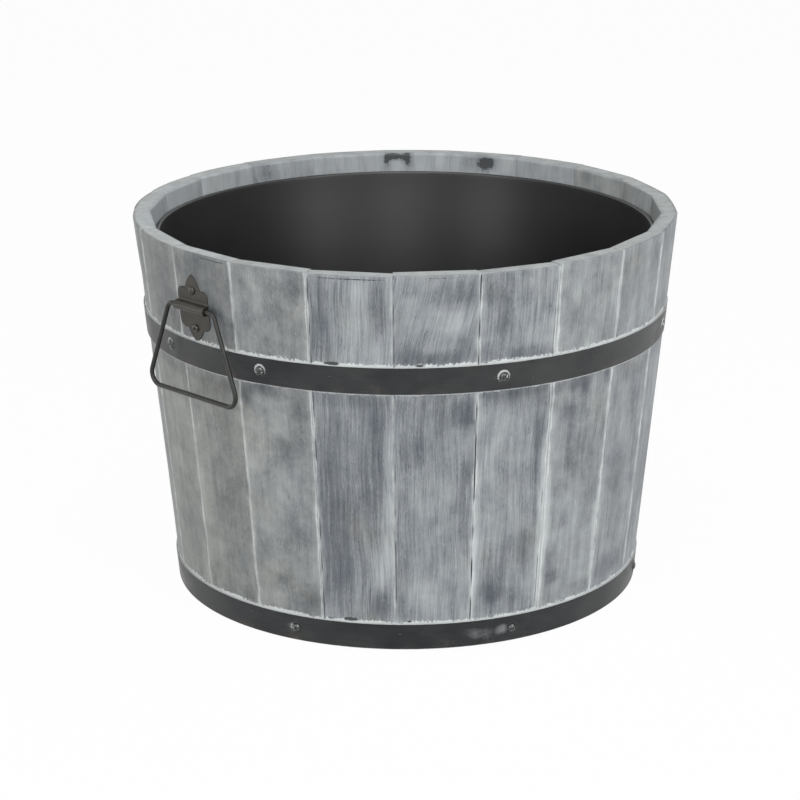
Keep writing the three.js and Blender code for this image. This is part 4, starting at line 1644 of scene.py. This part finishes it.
@dataclass
class Hoop:
    """A round strap, lapped and riveted at the back, with a pressed lip at each screw."""

    form: BarrelForm
    fixings: Fixings
    name: str
    middle: float
    screws: int
    smears_and_shading: tuple[SmearAndShading, ...] = ()
    halo: float = 0.62
    # painted shade over the whole strap
    shade: float = 0.0
    lap_stave: int = 10
    lap_length: float = 44 * MM
    joggle: float = 6 * MM
    rivet_spacing: float = 22 * MM
    lip_radius: float = 4.4 * MM
    lip_height: float = 0.75 * MM
    lip_width: float = 0.85 * MM
    ease: float = 0.3 * MM
    rows: int = 33
    bearings: list[float] = field(default_factory=list)

    def __post_init__(self) -> None:
        """Finds the screws' bearings from the frame."""
        self.bearings = [bearing_of(f"{self.name}_screw_{i + 1}") for i in range(self.screws)]

    @property
    def radius(self) -> float:
        """Inner radius at the hoop's middle line."""
        return float(self.form.hoop_inner(self.middle))

    def stations(self) -> np.ndarray:
        """Distances along the strap where it has a row of points, closer together at a screw."""
        whole = math.tau * self.radius
        start = self.lap_stave * self.form.step * self.radius - self.lap_length / 2
        runs = [np.arange(0, whole + self.lap_length, 4 * MM), [whole + self.lap_length]]
        runs.append(np.linspace(whole - self.joggle - MM, whole, 9))
        for bearing in self.bearings:
            place = (bearing * self.radius - start) % whole
            runs.append(np.linspace(-8 * MM, 8 * MM, 33) + place)
        places = np.unique(np.round(np.concatenate(runs), 6))
        return places[np.concatenate([[True], np.diff(places) > 0.2 * MM])]

    def across(self, angles: np.ndarray, bearing: float) -> np.ndarray:
        """Distances round the hoop from a bearing."""
        turn = (angles - bearing + math.pi) % math.tau - math.pi
        return turn * self.radius

    def strap(self) -> tuple[np.ndarray, dict[str, np.ndarray]]:
        """Middle surface of the strap, from its hidden end round to its outer end, and its values."""
        form = self.form
        runs = self.stations()[:, None]
        rise = np.linspace(-form.hoop_width / 2, form.hoop_width / 2, self.rows)[None]
        angles = self.lap_stave * form.step + (runs - self.lap_length / 2) / self.radius
        whole = math.tau * self.radius
        over = 1.05 * form.hoop_thickness * smooth(runs, whole - self.joggle, whole - MM)
        lift = form.hoop_thickness / 2 + over + 0 * rise
        # white and grey are wash; dark is painted shade, and painted light where it is below 0
        white, grey, dark = np.zeros_like(lift), np.zeros_like(lift), np.full_like(lift, self.shade)
        for index, bearing in enumerate(self.bearings):
            across = self.across(angles, bearing)
            away = np.hypot(across, rise)
            lift = lift + self.lip_height * np.exp(-(((away - self.lip_radius) / self.lip_width) ** 2))
            ring = np.exp(-(((away - self.lip_radius - 0.4 * MM) / (1.0 * MM)) ** 2))
            open_side = np.cos(np.arctan2(rise, across) - 2.5 + 0.8 * math.sin(7.0 * index))
            white = white + self.halo * (1 + 0.5 * open_side) * ring
            grey = grey + 0.8 * self.halo * np.exp(-(np.hypot((across + 7 * MM) / 5, rise / 4) / MM) ** 2)
        for smear in self.smears_and_shading:
            across = self.across(angles, math.radians(smear.bearing)) / MM
            away = (np.abs(across) / smear.wide) ** 3 + (np.abs(rise / MM - smear.rise) / smear.tall) ** 3
            white = white + smear.white * np.exp(-away)
            grey = grey + smear.grey * np.exp(-away)
            dark = dark + smear.dark * np.exp(-away)
        radius = form.hoop_inner(self.middle + rise) + lift
        height = self.middle + rise + 0 * runs
        middle = np.stack([radius * np.sin(angles), -radius * np.cos(angles), height], -1)
        half = form.hoop_width / 2
        strip = np.stack([runs + 0 * rise, half + rise + 0 * runs, half - rise + 0 * runs], -1)
        return middle, {"strip": strip, "smear": np.stack([white, grey, dark], -1)}

    def build(self, finishes: Finishes) -> None:
        """Makes the strap with its screws and rivets."""
        form = self.form
        draft = MeshDraft("strip", "smear")
        middle, painted = self.strap()
        sheet_shell(draft, middle, form.hoop_thickness, self.ease, painted)
        dress(draft.mesh(self.name, 50), self.name, "strap", finishes.hoop, Body.BARREL)
        screw = self.fixings.screw_mesh(self.fixings.grip)
        for index, bearing in enumerate(self.bearings):
            frame = form.hoop_frame(bearing, self.middle, form.hoop_thickness + 0.05 * MM)
            node = f"{self.name}_screw_{index + 1}"
            self.fixings.drive(screw, node, frame, 0.4 + 1.7 * index, finishes.screw)
        rivet = self.fixings.rivet_mesh()
        for index, share in enumerate((-0.5, 0.5)):
            bearing = self.lap_stave * form.step + share * self.rivet_spacing / self.radius
            frame = form.hoop_frame(bearing, self.middle, 2.1 * form.hoop_thickness)
            self.fixings.drive(rivet, f"{self.name}_rivet_{index + 1}", frame, 0.0, finishes.hoop_rivet)


# ---------------------------------------------------------------- liner
@dataclass
class Liner:
    """The lift-out pot, with a rolled lip that sits just under the rim."""

    form: BarrelForm
    lip_height: float = 320.5 * MM
    lip_radius: float = 220.4 * MM
    wall: float = 2.2 * MM
    foot_radius: float = 184 * MM
    foot_corner: float = 14 * MM
    lip: float = 3.4 * MM
    segments: int = 168

    def profile(self) -> np.ndarray:
        """Profile from the middle of the underside, up outside, over the lip and down to the floor."""
        foot = self.form.board_top + self.form.seat
        top_out = self.lip_radius - self.lip + self.wall
        under = self.lip_height - self.lip
        corner = np.array([self.foot_radius - self.foot_corner, foot + self.foot_corner])
        low_out = arc(corner, self.foot_corner, -math.pi / 2, 0, 8)
        low_in = arc(corner, self.foot_corner - self.wall, 0, -math.pi / 2, 8)
        bead = self.lip / 2
        lip = arc((self.lip_radius - bead, self.lip_height - bead), bead, -math.pi / 2, math.pi, 15)
        wall_out = np.linspace(low_out[-1], [top_out - self.wall * 0.2, under - 1.5 * MM], 12)[1:]
        wall_in = np.linspace([top_out - self.wall * 1.1, under - 1.2 * MM], low_in[0], 12)[:-1]
        floor_out = np.stack([np.linspace(0, low_out[0][0], 6)[:-1], np.full(5, foot)], -1)
        floor_in = np.stack([np.linspace(low_in[-1][0], 0, 6)[1:], np.full(5, foot + self.wall)], -1)
        return np.concatenate([floor_out, low_out, wall_out, lip, wall_in, low_in, floor_in])

    def build(self, finishes: Finishes) -> None:
        """Makes and dresses the liner."""
        mesh = turned_mesh("liner", self.profile(), self.segments, 60)
        dress(mesh, "liner", "moulded", finishes.plastic, Body.LINER)


# ---------------------------------------------------------------- handles
@dataclass(frozen=True)
class Leaf:
    """One leaf of the strap plate: its tip, lobes and screw by distance from the pivot."""

    tip: float
    lobe: float
    lobe_radius: float
    screw: float


@dataclass
class Handle:
    """A drop handle: a lobed strap plate formed over the wire, its two screws and the bail."""

    form: BarrelForm
    fixings: Fixings
    hand: Side
    stave: int = 5
    shift: float = 13 * MM
    pivot_height: float = 287 * MM
    pivot_lift: float = 5 * MM
    thickness: float = 1.5 * MM
    half_width: float = 18.9 * MM
    upper: Leaf = Leaf(28 * MM, 15.6 * MM, 6.5 * MM, 14.2 * MM)
    lower: Leaf = Leaf(31 * MM, 20 * MM, 8.8 * MM, 18.8 * MM)
    wire: float = 2 * MM
    clearance: float = 0.4 * MM
    top_half: float = 28.5 * MM
    bottom_half: float = 59 * MM
    drop: float = 76.5 * MM
    top_bend: float = 7 * MM
    bottom_bend: float = 10 * MM
    ease: float = 0.35 * MM

    @property
    def side(self) -> str:
        """Name of the side."""
        return self.hand.name.lower()

    def frame(self, up: float = 0.0, lift: float = 0.0) -> Matrix:
        """Frame on the stave's face, a distance up the face from the pivot and a lift out from it."""
        height = self.pivot_height + up * math.cos(self.form.lean)
        hand = self.hand.value
        return self.form.face_frame(hand * self.stave, hand * self.shift, height, lift)

    def edge(self, leaf: Leaf, across: np.ndarray) -> np.ndarray:
        """Distance from the pivot to a leaf's outline at places across the plate."""
        t = np.linspace(0, 1, 60)[:, None]
        cleft, low = self.half_width / 2, leaf.lobe - 0.6 * MM
        swell = 0.6 * leaf.lobe + 0.4 * leaf.tip
        ogee = [(0, leaf.tip), (3 * MM, leaf.tip - 0.6 * MM), (7.6 * MM, swell), (cleft, low)]
        a, b, c, d = (np.array(p) for p in ogee)
        tip = (1 - t) ** 3 * a + 3 * t * (1 - t) ** 2 * b + 3 * t * t * (1 - t) * c + t**3 * d
        start = np.array([self.half_width - leaf.lobe_radius, leaf.lobe])
        corner = np.array([self.half_width, leaf.lobe])
        end = np.array([self.half_width, leaf.lobe - leaf.lobe_radius])
        lobe = quadratic(start, corner, end, 60)
        line = np.concatenate([tip, lobe])
        return np.interp(np.abs(across), line[:, 0], line[:, 1])

    def knuckle(self) -> np.ndarray:
        """Middle line of the strap over the wire: up the plate, and out of it."""
        radius = self.wire + self.clearance + self.thickness / 2
        flat = self.form.seat + self.thickness / 2
        fillet = 1.6 * MM + self.thickness / 2
        bend = ((-radius - fillet, flat), (-radius, flat), (-radius, flat + fillet))
        rise = quadratic(*(np.array(point) for point in bend), 7)
        crown = arc((0, self.pivot_lift), radius, math.pi, 0, 17)
        return np.concatenate([rise, crown, (rise * np.array([-1, 1]))[::-1]])

    def plate_mesh(self) -> bpy.types.Mesh:
        """The strap plate in its place."""
        spread = np.sin(np.linspace(-math.pi / 2, math.pi / 2, 57))
        notches = np.array([-self.half_width / 2, self.half_width / 2])
        across = np.sort(np.concatenate([spread * self.half_width, notches]))
        bend = self.knuckle()
        shares = np.sin(np.linspace(0, math.pi / 2, 16))[:, None]
        up, down = self.edge(self.upper, across), -self.edge(self.lower, across)
        rows_up = bend[-1, 0] + (up - bend[-1, 0])[None] * shares
        rows_down = (bend[0, 0] + (down - bend[0, 0])[None] * shares)[::-1]
        over = np.broadcast_to(bend[1:-1, :1], (len(bend) - 2, len(across)))
        rows = np.concatenate([rows_down, over, rows_up])
        flat = bend[0, 1]
        lifts = np.concatenate([np.full(16, flat), bend[1:-1, 1], np.full(16, flat)])[:, None]
        lifts = lifts + 0 * rows
        columns = np.broadcast_to(across[None], rows.shape)
        draft = MeshDraft()
        sheet_shell(draft, np.stack([columns, rows, lifts], -1), self.thickness, self.ease, {})
        mesh = draft.mesh(f"{self.side}_handle_plate", 45)
        mesh.transform(self.frame())
        return mesh

    def bail_line(self) -> np.ndarray:
        """Centre line of the bail, across and down from its pivot, with its corners bent."""
        corners = [
            (np.array([-self.top_half, 0.0]), self.top_bend),
            (np.array([-self.bottom_half, -self.drop]), self.bottom_bend),
            (np.array([self.bottom_half, -self.drop]), self.bottom_bend),
            (np.array([self.top_half, 0.0]), self.top_bend),
        ]
        line: list[np.ndarray] = []
        for index, (at, bend) in enumerate(corners):
            before = corners[index - 1][0] - at
            after = corners[(index + 1) % 4][0] - at
            before, after = before / np.linalg.norm(before), after / np.linalg.norm(after)
            half = math.acos(float(before @ after)) / 2
            inward = (before + after) / np.linalg.norm(before + after)
            centre = at + inward * bend / math.sin(half)
            start = at + before * bend / math.tan(half) - centre
            sweep = math.pi - 2 * half
            for turn in np.linspace(0, sweep, 13):
                c, s = math.cos(turn), math.sin(turn)
                line.append(centre + np.array([start[0] * c - start[1] * s, start[0] * s + start[1] * c]))
        return np.array(line)

    def bail_mesh(self) -> bpy.types.Mesh:
        """The bail in its place, hanging from the knuckle."""
        corners = self.bail_line()
        line = []
        for here, there in zip(corners, np.roll(corners, -1, axis=0)):
            pieces = max(1, round(float(np.linalg.norm(there - here)) / (6 * MM)))
            line += [here + (there - here) * i / pieces for i in range(pieces)]
        path = np.array(line)
        along = np.roll(path, -1, axis=0) - np.roll(path, 1, axis=0)
        along /= np.linalg.norm(along, axis=-1, keepdims=True)
        turn = np.arange(16) * math.tau / 16
        sideways = self.wire * np.cos(turn)[None]
        x = path[:, :1] - along[:, 1:] * sideways
        z = path[:, 1:] + along[:, :1] * sideways
        y = np.broadcast_to(-self.wire * np.sin(turn)[None], x.shape)
        draft = MeshDraft()
        draft.web(draft.lay(np.stack([x, y, z], -1)), loop_rows=True, loop_columns=True)
        mesh = draft.mesh(f"{self.side}_bail", 60)
        pivot = self.frame(lift=self.pivot_lift).to_translation()
        turn = self.hand.value * self.stave * self.form.step
        mesh.transform(Matrix.Translation(pivot) @ Matrix.Rotation(turn, 4, "Z"))
        return mesh

    def build(self, finishes: Finishes) -> None:
        """Makes the plate, its screws and the bail."""
        plate = f"{self.side}_handle_plate"
        dress(self.plate_mesh(), plate, "strap", finishes.iron, Body.BARREL)
        swinging = Body(f"{self.side}_bail")
        dress(self.bail_mesh(), swinging.value, "wire", finishes.wire, swinging)
        screw = self.fixings.screw_mesh(self.fixings.grip)
        top = self.form.seat + self.thickness + 0.05 * MM
        for place, up in (("upper", self.upper.screw), ("lower", -self.lower.screw)):
            node = f"{self.side}_plate_{place}_screw"
            turn = 0.6 if up > 0 else 1.3
            self.fixings.drive(screw, node, self.frame(up, top), turn, finishes.plate_screw)


# ---------------------------------------------------------------- studio
@dataclass(frozen=True)
class Lamp:
    """A soft square lamp, placed round the planter by bearing and height and aimed at it."""

    name: str
    bearing: float
    height: float
    distance: float
    size: float
    power: float

    def hang(self, aim: Vector) -> None:
        """Hangs the lamp."""
        light = bpy.data.lights.new(self.name, "AREA")
        light.size = self.size
        light.energy = self.power
        lamp = in_scene(self.name, light)
        angle = math.radians(self.bearing)
        lamp.location = (self.distance * math.sin(angle), -self.distance * math.cos(angle), self.height)
        lamp.rotation_mode = "QUATERNION"
        lamp.rotation_quaternion = (aim - lamp.location).to_track_quat("-Z", "Y")


@dataclass
class Studio:
    """Pale floor and surround, soft lamps, and the camera where the photograph was taken from."""

    floor_side: float = 16.0
    surround: float = 0.22
    floor_glow: float = 0.97
    camera_bearing: float = -40.277
    camera_distance: float = 2.157
    camera_height: float = 0.8332
    camera_yaw: float = -40.134
    camera_pitch: float = 17.427
    camera_roll: float = -0.2499
    lens: float = 112.13
    aim_height: float = 0.17
    lamps: tuple[Lamp, ...] = (
        Lamp("key", -38, 1.15, 2.6, 0.8, 16),
        Lamp("key_left", -84, 1.15, 2.6, 0.8, 17),
        Lamp("key_right", 4, 1.15, 2.6, 0.8, 18),
        Lamp("top", -38, 2.6, 0.9, 1.2, 29),
        Lamp("low_left", -140, 0.2, 2.2, 0.38, 5),
        Lamp("low_right", 55, 0.2, 2.2, 0.38, 12),
    )

    def seen_white(self, w: Wiring) -> Socket:
        """1 for what the camera, a gloss or a glass sees, 0 for light that falls on the object."""
        path = w.add("ShaderNodeLightPath")
        direct = w.larger(path.outputs["Is Camera Ray"], path.outputs["Is Glossy Ray"])
        return w.larger(direct, path.outputs["Is Transmission Ray"])

    def surround_world(self) -> None:
        """A white surround whose light on the object is softer than it looks."""
        world = bpy.data.worlds.new("surround")
        world.use_nodes = True
        world.node_tree.nodes.clear()
        w = Wiring(world.node_tree)
        lighting = w.add("ShaderNodeBackground")
        lighting.inputs["Strength"].default_value = self.surround
        seen = w.add("ShaderNodeBackground")
        seen.inputs["Strength"].default_value = 1.0
        for node in (lighting, seen):
            node.inputs["Color"].default_value = (1, 1, 1, 1)
        mix = w.add("ShaderNodeMixShader")
        w.feed(mix.inputs[0], self.seen_white(w))
        w.feed(mix.inputs[1], lighting.outputs[0])
        w.feed(mix.inputs[2], seen.outputs[0])
        out = w.add("ShaderNodeOutputWorld")
        w.feed(out.inputs["Surface"], mix.outputs[0])
        bpy.context.scene.world = world

    def lay_floor(self) -> None:
        """A pale floor that takes the planter's soft shadow."""
        half = self.floor_side / 2
        mesh = bpy.data.meshes.new("floor")
        corners = [(x * half, y * half, 0) for x, y in SQUARE]
        mesh.from_pydata(corners, [], [(0, 1, 2, 3)])
        material, w, surface = new_material("pale_floor")
        w.fill(surface, Base_Color=colour(238, 238, 238), Roughness=0.9)
        glow = w.add("ShaderNodeEmission")
        mix = w.add("ShaderNodeMixShader")
        w.feed(mix.inputs[0], w.times(self.seen_white(w), self.floor_glow))
        w.feed(mix.inputs[1], surface.outputs[0])
        w.feed(mix.inputs[2], glow.outputs[0])
        output = next(n for n in w.tree.nodes if n.type == "OUTPUT_MATERIAL")
        w.feed(output.inputs["Surface"], mix.outputs[0])
        mesh.materials.append(material)
        floor = in_scene("floor", mesh)

    def place_camera(self) -> None:
        """The camera, at the photograph's viewing angle."""
        data = bpy.data.cameras.new("camera")
        data.lens = self.lens
        data.sensor_width = 36
        camera = in_scene("camera", data)
        angle = math.radians(self.camera_bearing)
        place = Vector((math.sin(angle), -math.cos(angle), 0)) * self.camera_distance
        place.z = self.camera_height
        yaw = Matrix.Rotation(math.radians(self.camera_yaw), 4, "Z")
        pitch = Matrix.Rotation(math.radians(90 - self.camera_pitch), 4, "X")
        roll = Matrix.Rotation(math.radians(self.camera_roll), 4, "Z")
        camera.matrix_world = Matrix.Translation(place) @ yaw @ pitch @ roll
        bpy.context.scene.camera = camera

    def build(self) -> None:
        """Sets up the studio."""
        bpy.context.scene.view_settings.view_transform = "Standard"
        self.surround_world()
        self.lay_floor()
        self.place_camera()
        for lamp in self.lamps:
            lamp.hang(Vector((0, 0, self.aim_height)))


def main() -> None:
    """Builds the planter's looks, piece by piece."""
    logging.basicConfig(level=logging.INFO, format="%(name)s: %(message)s")
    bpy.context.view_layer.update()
    Studio().build()
    form = BarrelForm()
    effects = Effects.make()
    ledges = (form.upper_hoop + form.hoop_width / 2, form.lower_hoop + form.hoop_width / 2)
    undersides = (form.upper_hoop - form.hoop_width / 2,)
    iron, screws = partial(LacqueredIron, effects), partial(SpottedSteel, effects)
    finishes = Finishes(
        limed=LimedWood(effects, ledges, undersides).make(),
        board=BoardWood(effects).make(),
        hoop=GraphiteSteel(effects).make(),
        hoop_rivet=iron("graphite_rivet", colour(48, 51, 54), colour(92, 95, 96)).make(),
        screw=screws("spotted_steel").make(),
        plate_screw=screws("bronzed_steel", colour(84, 80, 74), colour(150, 148, 140), 0.64).make(),
        iron=iron("bronze_iron", colour(49, 46, 41), colour(80, 77, 70)).make(),
        wire=iron("dark_wire", colour(34, 35, 32), colour(66, 68, 65)).make(),
        plastic=LinerPlastic(effects).make(),
    )
    fixings = Fixings(form)
    StaveWall(form).build(finishes)
    Base(form).build(finishes)
    # The upper hoop's marks are shade and light painted by bearing; the lower hoop's last mark is painted
    # light.
    upper_painted_shading = (
        SmearAndShading(-70, 0, 40, 20, dark=0.5),
        SmearAndShading(-43, 2, 26, 20, dark=0.25),
        SmearAndShading(-28, 0, 30, 20, dark=0.15),
        SmearAndShading(-98, 0, 40, 20, dark=-0.2),
    )
    lower_smears_and_shading = (
        SmearAndShading(-24, -1, 16, 7, 0.1, 0.6),
        SmearAndShading(-17.5, 0, 5, 6, 0.2, 0.5),
        SmearAndShading(-68, 0, 3.5, 4, 0.35, 0.25),
        SmearAndShading(-100, 0, 80, 20, dark=-0.2),
    )
    Hoop(form, fixings, "upper_hoop", form.upper_hoop, 8, upper_painted_shading).build(finishes)
    Hoop(form, fixings, "lower_hoop", form.lower_hoop, 7, lower_smears_and_shading, 0.2, 0.35).build(finishes)
    Liner(form).build(finishes)
    for hand in Side:
        Handle(form, fixings, hand).build(finishes)


if __name__ == "__main__":
    main()
